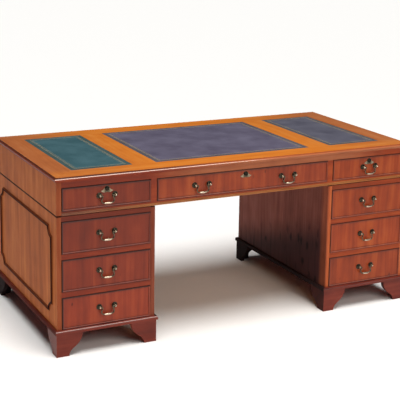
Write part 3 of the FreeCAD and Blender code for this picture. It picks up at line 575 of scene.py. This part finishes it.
# %% [markdown]
# ## The rails and the frame
#
# The frame round the drawers is redder to the left and warmer to the right, as the fronts are, partly
# as painted light, and the rail over the wide drawer is paler. Along the foot of the upper case runs a
# bead of golden wood, and painted shade darkens the rails next to it. Several finishes would show a
# step where they meet, so one finish blends its tones over the width of the desk.

# %% Rails that change from left to right
PALE_RAIL_TONES = [shade(108, 52, 30), shade(152, 86, 54), shade(178, 114, 80)]
LEFT_BEAD_TONES = [shade(86, 46, 30), shade(120, 73, 52), shade(144, 95, 72)]
BEAD_TONES = [shade(118, 67, 32), shade(156, 95, 48), shade(180, 120, 68)]
BEAD_HEIGHT = 12 * MM
CASE_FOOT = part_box("upper_case_front_frame")[0].z
UPPER_DRAWER_FOOT, UPPER_DRAWER_TOP = (corner.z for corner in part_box("upper_centre_drawer_front"))
PEDESTAL_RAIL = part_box("left_drawer_1_front")[1].z


def bead_colour(wood, tone, x, z):
    """Golden wood, duller to the left in part as painted light, with painted shade along its middle."""
    golden = two_toned(wood, x.rise(-0.9, -0.4), tone, LEFT_BEAD_TONES, BEAD_TONES)
    # A darker line of painted shade along the middle of the bead.
    line = abs(z - CASE_FOOT - BEAD_HEIGHT / 2).rise(2 * MM, 1 * MM) * 0.3
    return wood.blend(line, golden, GROOVE_SHADE)


def rail_finish():
    """Grain along X. Ramps over x choose among the tones, and ramps over z among the rails.

    Painted shade darkens the two rails next to the bead: the one above it to the left, the one below
    it, in the bead's shadow, nearly to the right end.
    """
    wood = Finish("yew_rails", Specular_IOR_Level=GLOSS)
    x, y, z = wood.position()
    tone, pores = figure(wood, x, y + z, leaf=0.3, contrast=0.7)
    # Redder to the left and warmer to the right: partly the wood, partly painted light.
    colour = two_toned(wood, x.rise(-0.7, -0.2), tone, RED_TONES, MID_TONES)
    colour = wood.blend(x.rise(0.2, 0.6), colour, toned(wood, tone, WARM_TONES))
    top_rail = z.rise(UPPER_DRAWER_TOP, UPPER_DRAWER_TOP + SOFT_EDGE)
    over_middle = top_rail * x.rise(-0.5, -0.2) * x.rise(0.8, 0.5)
    colour = wood.blend(over_middle, colour, toned(wood, tone, PALE_RAIL_TONES))
    # Painted shade on the rails next to the bead: above it to the left, below it nearly to the right
    # end.
    above = z.within(CASE_FOOT, UPPER_DRAWER_FOOT) * x.rise(-0.5, -0.9) * 0.5
    below = z.within(PEDESTAL_RAIL, CASE_FOOT) * x.rise(0.85, 0.5) * 0.35
    colour = wood.blend(above.larger(below), colour, GROOVE_SHADE)
    bead = z.within(CASE_FOOT - 2 * MM, CASE_FOOT + BEAD_HEIGHT)
    return polish(wood, wood.blend(bead, colour, bead_colour(wood, tone, x, z)), pores, SATIN)


dress_slot("front_veneer", rail_finish())
print("the bead is", round(BEAD_HEIGHT / MM), "mm high")

# %% [markdown]
# ## The drawer fronts
#
# Each front was cut from its own place in the pack of veneers, so each gets its own shift and its own
# depth of tone. These depths, and the redder, darker leaves to the left and the warmer, brighter ones
# to the right, are partly the wood and partly painted light. Round each front runs a waxed bead
# between two dark lines of painted shade. The outer line is the quirk's shadow, painted wider along
# the top and the left, most of all on the left-hand drawers. The distance to the front's own edges
# gives the bead and both lines.

# %% One veneer for each drawer front
QUIRK = 1.8 * MM
# How wide the painted shadow makes the quirk along the top and the left.
QUIRK_SHADOW_WIDTH = 4.6 * MM
BEAD_WIDTH = 6 * MM
CRISP = 0.5 * MM
SHIFT_STEP = 0.37
# Tones by place and depths of tone: partly the wood, partly painted light.
TONES_AT = {"left": RED_TONES, "centre": MID_TONES, "right": WARM_TONES}
# How strong the painted shadow in the quirk is, by place.
QUIRK_SHADOW_AT = {"left": 0.92, "centre": 0.75, "right": 0.55}
DEPTH_OF_TONE = {
    "upper_left_drawer": 0.84, "left_drawer_1": 0.88, "left_drawer_2": 1.0, "left_drawer_3": 1.2,
    "upper_right_drawer": 0.93, "right_drawer_1": 0.94, "right_drawer_2": 1.05, "right_drawer_3": 0.98,
    "upper_centre_drawer": 1.0,
}


def front_finish(drawer, tones, shadow_share, shift):
    """Upright veneer, a waxed bead and dark lines of painted shade on both sides of it, by the distance
    to the edge.

    The wax is thickest along the foot, where the bead looks up into the light.
    """
    low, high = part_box(f"{drawer}_front")
    wood = Finish(f"yew_{drawer}", Specular_IOR_Level=GLOSS, Coat_IOR=2.2, Coat_Roughness=0.15)
    x, _, z = wood.position()
    tone, pores = figure(wood, z + shift, x + shift, contrast=0.85)
    places = wood.noise(x * 5 + shift, z * 6).rise(0.56, 0.66) * 0.6
    spots = knots(wood, z + shift, x + shift, wide=0.05, long=0.12, size=0.1) * places
    to_left, to_top, to_foot = x - low.x, high.z - z, z - low.z
    rim = nearest(to_left, high.x - x, to_top, to_foot)
    # Painted shadow along the top and left edges of the front.
    painted_shadow = to_left.smaller(to_top).rise(QUIRK_SHADOW_WIDTH + 0.8 * MM, QUIRK_SHADOW_WIDTH) * shadow_share
    outer = (rim.rise(QUIRK + CRISP, QUIRK) * 0.8).larger(painted_shadow)
    inner = abs(rim - BEAD_WIDTH - 1 * MM).rise(1.6 * MM, 0.8 * MM) * 0.4
    bead = rim.within(QUIRK, BEAD_WIDTH + CRISP, CRISP)
    at_foot = to_foot.rise(BEAD_WIDTH, BEAD_WIDTH - CRISP)
    wood.wax(bead * (at_foot * 0.18 + 0.12) + 0.03)
    colour = wood.blend(spots, toned(wood, tone, tones), KNOT)
    return polish(wood, wood.blend(outer.larger(inner), colour, GROOVE_SHADE), pores, outer * 0.5 + SATIN)


for number, (drawer, depth) in enumerate(DEPTH_OF_TONE.items()):
    place = next(place for place in TONES_AT if place in drawer)
    own_tones = [tuple(depth * part for part in tone) for tone in TONES_AT[place]]
    dress(f"{drawer}_front", front_finish(drawer, own_tones, QUIRK_SHADOW_AT[place], SHIFT_STEP * number))
print(len(DEPTH_OF_TONE), "drawer fronts:", ", ".join(DEPTH_OF_TONE))

# %% [markdown]
# ## The polished top
#
# The top is the brightest wood of the desk, a warm orange between the leathers that reddens towards
# the ends. Its grain follows the strips of wood: along the front and the back, across at the two
# ends and between the leathers, with mitred corners. The moulded edge below it has the tones of the
# rails, with a quirk darkened by painted shade and a band of painted highlight along the nose. One
# finish can do all of this, because it knows where on the top it is.

# %% A finish that follows the strips of the top
TOP_TONES = [shade(186, 95, 34), shade(217, 126, 45), shade(232, 154, 72)]
END_TONES = [shade(150, 82, 47), shade(180, 105, 60), shade(200, 132, 86)]
# Painted highlight along the nose: whitish to the left, warm to the right.
LEFT_PAINTED_HIGHLIGHT = full(shade(222, 178, 162))
RIGHT_PAINTED_HIGHLIGHT = full(shade(204, 124, 80))
# Painted shade in the quirk: dark to the left, brown to the right.
LEFT_QUIRK_SHADE = full(shade(84, 38, 26))
RIGHT_QUIRK_SHADE = full(shade(156, 76, 36))
QUIRK_DEPTH = 4.8 * MM
TOP_WAX = 0.18
TOP_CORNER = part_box("top_board")[1]
LEATHER_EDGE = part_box("leather_centre")[1].y


def strip_figure(wood, x, y, z):
    """The figure with its grain along Y at the ends and between the leathers, and along X elsewhere.

    A corner's mitre is where the distance to the end equals the distance to the long edge.
    """
    to_end = TOP_CORNER.x - abs(x)
    to_edge = TOP_CORNER.y - abs(y)
    mitred = (to_edge - to_end).rise(-CRISP, CRISP)
    turned = mitred.larger(abs(y).rise(LEATHER_EDGE + CRISP, LEATHER_EDGE))
    along, across = wood.between(turned, x, y), wood.between(turned, y, x) + z
    return figure(wood, along, across, leaf=0.6, contrast=0.7)


def nose_colour(wood, tone, x, z, waxed):
    """The moulded edge: a quirk of a few millimetres, and below it a nose with a band of painted
    highlight.

    The quirk is painted shade: darker than the nose to the left and brown to the right.
    """
    nose = two_toned(wood, x.rise(-0.5, 0.0), tone, RED_TONES, PALE_RAIL_TONES)
    quirk_foot = TOP_CORNER.z - QUIRK_DEPTH
    in_quirk = z.rise(quirk_foot - CRISP, quirk_foot)
    # A band of painted highlight where the nose looks up and to the front.
    worn = wood.blend(x.rise(-0.5, 0.1), LEFT_PAINTED_HIGHLIGHT, RIGHT_PAINTED_HIGHLIGHT)
    nose = wood.blend(waxed * (1 - in_quirk) * 0.6, nose, worn)
    # Painted shade in the quirk.
    return wood.blend(in_quirk, nose, wood.blend(x.rise(-0.6, 0.1), LEFT_QUIRK_SHADE, RIGHT_QUIRK_SHADE))


def polished_top():
    """Orange in the middle and redder at the ends. The moulding is what lies below the top face."""
    wood = Finish("polished_top", Coat_Roughness=0.12, Coat_IOR=2.6, Specular_IOR_Level=GLOSS)
    x, y, z = wood.position()
    tone, pores = strip_figure(wood, x, y, z)
    ends = abs(x).rise(0.35, 0.9) * (1 - y.rise(-0.3, -0.4) * 0.5)
    field = two_toned(wood, ends, tone, TOP_TONES, END_TONES)
    moulding = z.rise(TOP_CORNER.z - 0.3 * MM, TOP_CORNER.z - 0.6 * MM)
    # The waxed part of the nose is also where nose_colour paints its highlight.
    waxed = waxed_nose(wood, moulding)
    colour = wood.blend(moulding, field, nose_colour(wood, tone, x, z, waxed))
    wood.wax(waxed - moulding * TOP_WAX + TOP_WAX)
    return wood.paint(colour, pores * 0.1 + moulding * 0.25 + 0.18, pores, 0.05 * MM)


dress("top_board", polished_top())
print("the top is", round(TOP_CORNER.x * 2, 3), "m wide")

# %% [markdown]
# ## Tooled leather
#
# Three hides are let into the top. A flat block with a colour would do from afar, but close to, a
# hide dips at its edge and is pressed in along the tooled lines. Each panel is a height over a grid:
# every point knows its distance to the nearest edge, and the height is a function of that distance.
# The grid has close lines where the height changes and wide ones elsewhere.

# %% The height of a hide over a grid
# Each tooled line's distance from the edge, and half its width.
LINES = {24 * MM: 1.2 * MM, 34 * MM: 0.7 * MM}
WALL = 0.3 * MM
TOOLED_DEPTH = 0.25 * MM
LEATHER_LEVEL = 0.15 * MM
EDGE_DIP = 0.6 * MM
EDGE_WIDTH = 1.6 * MM
# The open field inside the lines has wide cells, and waves that grow over its calm border.
FIELD_INSET = 45 * MM
FIELD_CELL = 16 * MM
CALM_WIDTH = 40 * MM
WAVE_HEIGHT = 0.05 * MM


def grid_lines(half):
    """Places from -half to half, close together at the edge and at the tooled lines."""
    close = [np.linspace(0, EDGE_WIDTH, 5)]
    for line, width in LINES.items():
        close += [line + side * (width + WALL * np.linspace(0, 1, 3)) for side in (-1, 1)]
    inset = np.concatenate(close)
    count = max(3, int(2 * half / FIELD_CELL))
    open_field = np.linspace(FIELD_INSET - half, half - FIELD_INSET, count)
    return np.unique(np.concatenate([inset - half, open_field, half - inset]))


def leather_depth(inset, x, y):
    """How far the hide lies below the wood, for a distance from its edge.

    A quadratic dip at the edge, a flat groove with steep walls at each tooled line, and slow waves
    of 0.1 mm that begin inside the lines: a sine of x times a sine of y.
    """
    depth = LEATHER_LEVEL + EDGE_DIP * np.clip(1 - inset / EDGE_WIDTH, 0, 1) ** 2
    for line, width in LINES.items():
        depth = depth + TOOLED_DEPTH * np.clip(1 - (abs(inset - line) - width) / WALL, 0, 1)
    calm = np.clip((inset - FIELD_INSET) / CALM_WIDTH, 0, 1)
    return depth + WAVE_HEIGHT * calm * (np.sin(x * 23) * np.sin(y * 19 + 1) + 1)


print("tooled lines at", [round(line / MM) for line in LINES], "mm from the edge")

# %% [markdown]
# ## From heights to a closed sheet
#
# A grid of heights is an open surface. A hide has a thickness, so the same grid is laid flat below
# it and a row of quads round the rim joins the two. Whole arrays of corner numbers do this at once,
# and no vertex is handled alone.

# %% The three hides
def new_piece(name, points, faces):
    """An object at the origin with its place in its mesh."""
    mesh = bpy.data.meshes.new(name)
    mesh.from_pydata(points, [], faces)
    piece = bpy.data.objects.new(name, mesh)
    bpy.context.scene.collection.objects.link(piece)
    return piece


def closed_sheet(name, x, y, top, bottom):
    """A closed mesh between a grid of heights and a flat underside.

    Each grid cell is one quad above and one below, and quads round the rim join the two.
    """
    rows, columns = top.shape
    upper = np.stack([x, y, top], axis=-1).reshape(-1, 3)
    lower = upper.copy()
    lower[:, 2] = bottom
    index = np.arange(rows * columns).reshape(rows, columns)
    corners = [index[:-1, :-1], index[1:, :-1], index[1:, 1:], index[:-1, 1:]]
    faces = np.stack(corners, axis=-1).reshape(-1, 4)
    under = faces[:, ::-1] + rows * columns
    rim = np.concatenate([index[0, :], index[1:, -1], index[-1, -2::-1], index[-2:0:-1, 0]])
    following = np.roll(rim, -1)
    wall = np.stack([rim, following, following + rows * columns, rim + rows * columns], axis=-1)
    piece = new_piece(name, np.concatenate([upper, lower]), np.concatenate([faces, under, wall]))
    piece.data.polygons.foreach_set("use_smooth", np.arange(len(piece.data.polygons)) < len(faces))
    return piece


def leather_panel(node):
    """A hide that stands for a CAD leather node, inside the same box."""
    low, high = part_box(node)
    middle, half = (low + high) / 2, (high - low) / 2
    x, y = np.meshgrid(grid_lines(half.x), grid_lines(half.y), indexing="ij")
    inset = np.minimum(half.x - abs(x), half.y - abs(y))
    top = high.z - leather_depth(inset, x, y)
    return closed_sheet(f"{node}_hide", x + middle.x, y + middle.y, top, low.z)


hides = {node: leather_panel(node) for node in ("leather_left", "leather_centre", "leather_right")}
print("hides:", {node: len(hide.data.polygons) for node, hide in hides.items()}, "faces")

# %% [markdown]
# ## Gold in the tooled lines
#
# The gold is leaf pressed into the leather with a heated wheel: two plain lines, and between them a
# row of small lozenges. Painted into the leather's finish it would blur, so it is thin geometry that
# lies in the grooves, lower than the wood around it.

# %% Rings and lozenges of gold
GOLD_PROUD = 0.05 * MM
GOLD_THICK = 0.08 * MM
LOZENGE_STEP = 9 * MM
LOZENGE_LONG = 2.6 * MM
LOZENGE_WIDE = 1.5 * MM
SIGNS = np.array([[-1, -1], [1, -1], [1, 1], [-1, 1]])
# The six quads of a block whose corners 0 to 3 lie above its corners 4 to 7.
BLOCK = np.array([[0, 1, 2, 3], [7, 6, 5, 4], [0, 4, 5, 1], [1, 5, 6, 2], [2, 6, 7, 3], [3, 7, 4, 0]])


def raised(flat, height):
    """Rows of points in the plane, with a height for each column as their third number."""
    heights = np.broadcast_to(height[None, :, None], (*flat.shape[:2], 1))
    return np.concatenate([flat, heights], axis=-1).reshape(-1, 3)


def gold_ring(half, line, width, level):
    """A flat ring along a tooled line: a rectangular profile carried round the hide's four corners.

    Corner k lies at its signs times the half size less the inset of the profile's point, and quads
    join neighbours both round the profile and from corner to corner, so the ring closes on itself.
    """
    inset = line + width * np.array([-1, 1, 1, -1])
    height = level - GOLD_THICK * np.array([0, 0, 1, 1])
    flat = SIGNS[:, None, :] * (half[None, None, :] - inset[None, :, None])
    corner, side = np.meshgrid(np.arange(4) * 4, np.arange(4), indexing="ij")
    following, beside = np.roll(corner, -1, axis=0), np.roll(side, -1, axis=1)
    quads = [corner + side, following + side, following + beside, corner + beside]
    return raised(flat, height), np.stack(quads, axis=-1).reshape(-1, 4)


def gold_lozenges(half, line, level):
    """A row of thin lozenges along each side of a rectangle that lies inset from the hide's edge.

    Lozenge k lies at the corner plus k steps along the side. Its four corners reach half its length
    along the side and half its width across, above and below, and six quads close it.
    """
    corners = SIGNS * (half - line)
    middles, reaches = [], []
    for start, stop in zip(corners, np.roll(corners, -1, axis=0)):
        length = np.linalg.norm(stop - start)
        way = (stop - start) / length
        forward = way * LOZENGE_LONG
        sideways = np.array([-way[1], way[0]]) * LOZENGE_WIDE
        count = int(length / LOZENGE_STEP)
        middles.append(start + np.outer((np.arange(count) + 0.5) * length / count, way))
        reaches.append(np.repeat([[-forward, -sideways, forward, sideways]], count, axis=0))
    flat = np.concatenate(middles)[:, None, :] + np.concatenate(reaches)
    flat = np.concatenate([flat, flat], axis=1)
    height = level - GOLD_THICK * (np.arange(8) > 3)
    faces = BLOCK[None] + 8 * np.arange(len(flat))[:, None, None]
    return raised(flat, height), faces.reshape(-1, 4)


def gilding(node):
    """The rings and lozenges of one hide, each just proud of the leather below it."""
    low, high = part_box(node)
    middle = np.array((low + high) / 2)
    half = np.array((high - low) / 2)[:2]

    def level_at(inset):
        return high.z - float(leather_depth(np.array(inset), 0.0, 0.0)) + GOLD_PROUD

    shapes = [gold_ring(half, line, width, level_at(line)) for line, width in LINES.items()]
    between_lines = sum(LINES) / len(LINES)
    shapes.append(gold_lozenges(half, between_lines, level_at(between_lines)))
    starts = np.cumsum([0] + [len(points) for points, _ in shapes])
    points = np.concatenate([points for points, _ in shapes])
    points[:, :2] += middle[:2]
    faces = np.concatenate([faces + start for (_, faces), start in zip(shapes, starts)])
    return new_piece(f"{node}_gilding", points, faces)


gildings = {node: gilding(node) for node in hides}
print("gilding:", {node: len(piece.data.polygons) for node, piece in gildings.items()}, "faces")

# %% [markdown]
# ## Hide and gold leaf
#
# Desk leather is smooth hide with a fine pebble and a soft sheen, dyed unevenly, and greyed by old
# polish outside the tooled lines. Cells of about a millimetre make the pebble, as relief only; a slow
# noise moves the colour. The gold is a thin leaf, worn in places, through which the hide dulls it.

# %% Leather and gold finishes
OLD_POLISH = full(shade(72, 74, 60))
WORN_GOLD, BRIGHT_GOLD = shade(142, 124, 92), shade(196, 182, 148)
PEBBLES = 900
PEBBLE_DEPTH = 0.12 * MM
DYES = {
    "leather_left": (shade(47, 80, 88), shade(68, 101, 110)),
    "leather_centre": (shade(80, 75, 94), shade(101, 97, 117)),
    "leather_right": (shade(75, 75, 89), shade(96, 96, 110)),
}


def hide_finish(node, deep, pale):
    """Dyed hide: colour from a slow noise, relief from small cells, and a greyed border."""
    low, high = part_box(node)
    hide = Finish(slot_of[node], Specular_IOR_Level=0.35)
    x, y, _ = hide.position()
    rim = nearest(x - low.x, high.x - x, y - low.y, high.y - y)
    border = rim.rise(min(LINES), min(LINES) - SOFT_EDGE) * 0.4
    clouds = hide.noise(x * 7, y * 7, detail=4.0, roughness=0.6)
    pebble = hide.cells(x * PEBBLES, y * PEBBLES)
    dye = hide.colours(clouds, [(0.3, deep), (0.7, pale)])
    return hide.paint(hide.blend(border, dye, OLD_POLISH), clouds * 0.14 + 0.36, pebble, PEBBLE_DEPTH)


def gold_finish():
    """Gold leaf: bright, and browner where a noise says that it is worn."""
    gold = Finish("gold_leaf", Metallic=0.25)
    x, y, _ = gold.position()
    worn = gold.noise(x * 160, y * 160, detail=3.0)
    return gold.paint(gold.colours(worn, [(0.35, WORN_GOLD), (0.6, BRIGHT_GOLD)]), worn * 0.25 + 0.22)


leaf = gold_finish()
for node, hide in hides.items():
    hide.data.materials.append(hide_finish(node, *DYES[node]))
    gildings[node].data.materials.append(leaf)
    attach(hide, "desk")
    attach(gildings[node], "desk")
    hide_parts(node)
print("dyed", ", ".join(slot_of[node] for node in hides))

# %% [markdown]
# ## Antique brass
#
# The handles are cast brass, darkened with lacquer and rubbed bright where hands and dusters reach:
# the grip of a bail, the tips of the posts, the wings of a lock plate round its dark barrel. On the
# front of a grip, on the tips and on the rosettes' rims, part of the brightness is painted highlight.
# Each joint of the packed model says where its pivot is, so the finish of a handle can measure the
# distance below its own pivot. One function makes the brass, and is told by another where it is
# bright from wear and painted highlight.

# %% Brass that is bright where it is rubbed
DARK_BRASS = shade(34, 34, 30)
WARM_BRASS = shade(134, 120, 98)
BRIGHT_BRASS = shade(240, 224, 202)
PIVOT_Y = joints["left_drawer_1_bail_swing"]["pos_m"][1]
GRIP_DROP, GRIP_REACH, GRIP_SOFT = 25 * MM, 17 * MM, 3 * MM
LOCK_REACH = 60 * MM
PLATE_DROP, PLATE_REACH = 12 * MM, 24 * MM
BARREL_RADIUS = 10.2 * MM


def brass(name, wear_and_highlight_of):
    """Dark lacquered brass. The second argument gives, from a finish, how bright it is from wear and
    painted highlight, from 0 to 1.
    """
    metal = Finish(name, Metallic=1.0)
    x, y, z = metal.position()
    stain = metal.noise(x * 210, y * 210, z * 210, detail=3.0)
    tone = (stain - 0.5) * 0.35 + wear_and_highlight_of(metal, x, y, z)
    colour = metal.colours(tone, [(0.05, DARK_BRASS), (0.5, WARM_BRASS), (0.95, BRIGHT_BRASS)])
    return metal.paint(colour, stain * 0.2 + 0.18)


def bail_wear_and_highlight(pivot):
    """Bright on the front of the grip, partly wear and partly painted highlight: 25 mm below the pivot,
    within 17 mm of the handle's middle.
    """
    def wear_and_highlight(metal, x, y, z):
        drop = pivot[2] - z
        below = drop.rise(GRIP_DROP - GRIP_SOFT, GRIP_DROP + GRIP_SOFT)
        grip = below * abs(x - pivot[0]).rise(GRIP_REACH + GRIP_SOFT, GRIP_REACH - GRIP_SOFT)
        # Only the front of the grip: painted highlight on top of the wear.
        ahead = metal.facing()[1].rise(-0.35, -0.75)
        return grip * ahead * 0.5 + 0.24
    return wear_and_highlight


def post_wear_and_highlight(metal, x, y, z):
    """Bright at the outer tips of the posts, and a little on the rosettes' sloping rims: partly wear,
    partly painted highlight.
    """
    # The rosettes' rims: painted highlight.
    rim = metal.facing()[1].rise(-0.9, -0.6) * 0.25
    # Outer tips: partly wear, partly painted highlight.
    return y.rise(PIVOT_Y - 3 * MM, PIVOT_Y - 8 * MM) * 0.75 + rim + 0.1


def lock_rubbed(lock):
    """As the posts, but bright on the wings of the plate and dark on the barrel between them.

    The plate is what lies within 60 mm of the lock and higher than the rosettes beside it.
    """
    def wear_and_highlight(metal, x, y, z):
        across = abs(x - lock[0])
        up = z - lock[2]
        radius = (across * across + up * up).root()
        upper = up.rise(-PLATE_DROP - CRISP, -PLATE_DROP)
        plate = upper.larger(across.rise(PLATE_REACH + CRISP, PLATE_REACH))
        plate = plate * across.rise(LOCK_REACH, LOCK_REACH - SOFT_EDGE)
        barrel = radius.rise(BARREL_RADIUS + 0.2 * MM, BARREL_RADIUS)
        wings = across.rise(9 * MM, 15 * MM) * 0.3 + 0.23
        return metal.between(plate, post_wear_and_highlight(metal, x, y, z), wings) * (1 - barrel * 0.85)
    return wear_and_highlight


def unrubbed(metal, x, y, z):
    """A lock's cylinder is touched only by its key, and stays dark."""
    return 0.08


dress_slot("antique_brass", brass("brass_posts", post_wear_and_highlight))
dress_slot("lock_metal", brass("brass_lock_cylinders", unrubbed))
for name, joint in joints.items():
    parent, child = joint["parent"], joint["child"]
    if name.endswith("_swing"):
        dress(child, brass(f"brass_{child}", bail_wear_and_highlight(joint["pos_m"])))
    if name.endswith("_lock_turn"):
        dress(f"{parent}_hardware", brass(f"brass_{parent}", lock_rubbed(joint["pos_m"])))
print("brass on", sum(name.endswith("_swing") for name in joints), "bails")

# %% [markdown]
# ## Floor and light
#
# The studio is a white floor that runs out of sight, under three lamps. A sun lamp with a wide angle
# stands nearly overhead: it lights the floor evenly to its far end, and gives shadows as soft as a
# large lamp does. A softbox from the front lights the drawers, and a weak one above it puts a sheen
# on the waxed edges. The sky is dim near the horizon, so the polished top, seen at a low angle,
# keeps its own colour.

# %% The studio
def into_scene(name, data):
    """A new object of the scene, for a lamp or a camera."""
    piece = bpy.data.objects.new(name, data)
    bpy.context.scene.collection.objects.link(piece)
    return piece


def plain_floor(size):
    """A level square, as large as it takes to reach past the edge of the picture."""
    corners = np.column_stack([SIGNS * size, np.zeros(4)])
    piece = new_piece("studio_floor", corners, [[0, 1, 2, 3]])
    paper = Finish("studio_paper", Specular_IOR_Level=0.1)
    x, y, _ = paper.position()
    speck = paper.noise(x * 40, y * 40)
    colour = paper.colours(speck, [(0.3, (0.945, 0.945, 0.94)), (0.7, (0.955, 0.955, 0.95))])
    piece.data.materials.append(paper.paint(colour, speck * 0.1 + 0.8))


def sun(name, height, strength, spread, colour):
    """A sun lamp at the front: height is its rise over the floor and spread its width, in degrees."""
    lamp = bpy.data.lights.new(name, "SUN")
    lamp.energy = strength
    lamp.angle = math.radians(spread)
    lamp.color = colour
    into_scene(name, lamp).rotation_euler = (math.radians(90 - height), 0.0, 0.0)


def softbox(name, place, aim, width, depth, power, colour):
    """A rectangular area lamp that looks from its place to a point."""
    lamp = bpy.data.lights.new(name, "AREA")
    lamp.shape = "RECTANGLE"
    lamp.size = width
    lamp.size_y = depth
    lamp.energy = power
    lamp.color = colour
    piece = into_scene(name, lamp)
    piece.location = place
    piece.rotation_euler = (Vector(aim) - Vector(place)).to_track_quat("-Z", "Y").to_euler()


def sky(low, high):
    """A sky that brightens from the horizon to overhead: the upward part of the direction, ramped."""
    world = bpy.data.worlds.new("studio_sky")
    world.use_nodes = True
    tree = world.node_tree
    direction = tree.nodes.new("ShaderNodeTexCoord")
    split = tree.nodes.new("ShaderNodeSeparateXYZ")
    ramp = tree.nodes.new("ShaderNodeMapRange")
    for socket, value in {"From Min": 0.25, "From Max": 0.85, "To Min": low, "To Max": high}.items():
        ramp.inputs[socket].default_value = value
    tree.links.new(direction.outputs["Generated"], split.inputs["Vector"])
    tree.links.new(split.outputs["Z"], ramp.inputs["Value"])
    tree.links.new(ramp.outputs["Result"], tree.nodes["Background"].inputs["Strength"])
    bpy.context.scene.world = world


plain_floor(size=60.0)
sun("overhead_light", height=81, strength=3.3, spread=42, colour=(1.0, 0.99, 0.97))
softbox("upper_softbox", place=(0.15, -1.0, 2.7), aim=(-0.1, -0.2, 0.6), width=1.6, depth=1.2,
        power=8, colour=(1.0, 0.93, 0.84))
softbox("front_softbox", place=(0.3, -3.0, 1.9), aim=(-0.2, -0.2, 0.2), width=2.4, depth=1.2,
        power=37, colour=(1.0, 0.93, 0.86))
sky(low=0.22, high=1.0)
bpy.context.scene.view_settings.view_transform = "Standard"
print("floor, three lamps and a sky")

# %% [markdown]
# ## The camera
#
# The photograph was taken from the front left, a little above the top, with the lens shifted so that
# upright edges stay nearly upright. The camera's place is a bearing and a rise from a point on the
# desk; its roll is the slight tilt of the picture, and the shift is that of the lens.

# %% The camera at the photograph's angle
AIM = np.array([0.0857, 0.2083, 0.8539])
BEARING, RISE, ROLL = np.radians([-26.462, 11.181, 0.932])
DISTANCE = 5.597
LENS = 99.02
SHIFT = -0.2


def camera_matrix():
    """Columns: right, up, back and place. Right and up are turned about back by the roll."""
    back = np.array([np.sin(BEARING) * np.cos(RISE), -np.cos(BEARING) * np.cos(RISE), np.sin(RISE)])
    level = np.cross([0, 0, 1], back)
    level /= np.linalg.norm(level)
    upright = np.cross(back, level)
    right = np.cos(ROLL) * level + np.sin(ROLL) * upright
    up = np.cos(ROLL) * upright - np.sin(ROLL) * level
    matrix = np.eye(4)
    matrix[:3, :] = np.column_stack([right, up, back, AIM + back * DISTANCE])
    return matrix


camera_data = bpy.data.cameras.new("photo_camera")
camera_data.sensor_width = 36.0
camera_data.lens = LENS
camera_data.shift_y = SHIFT
camera_data.clip_end = 200.0
camera = into_scene("photo_camera", camera_data)
camera.matrix_world = Matrix(camera_matrix().tolist())
bpy.context.scene.camera = camera
print("camera", [round(float(part), 2) for part in camera.location])

# %% Update the scene
bpy.context.view_layer.update()
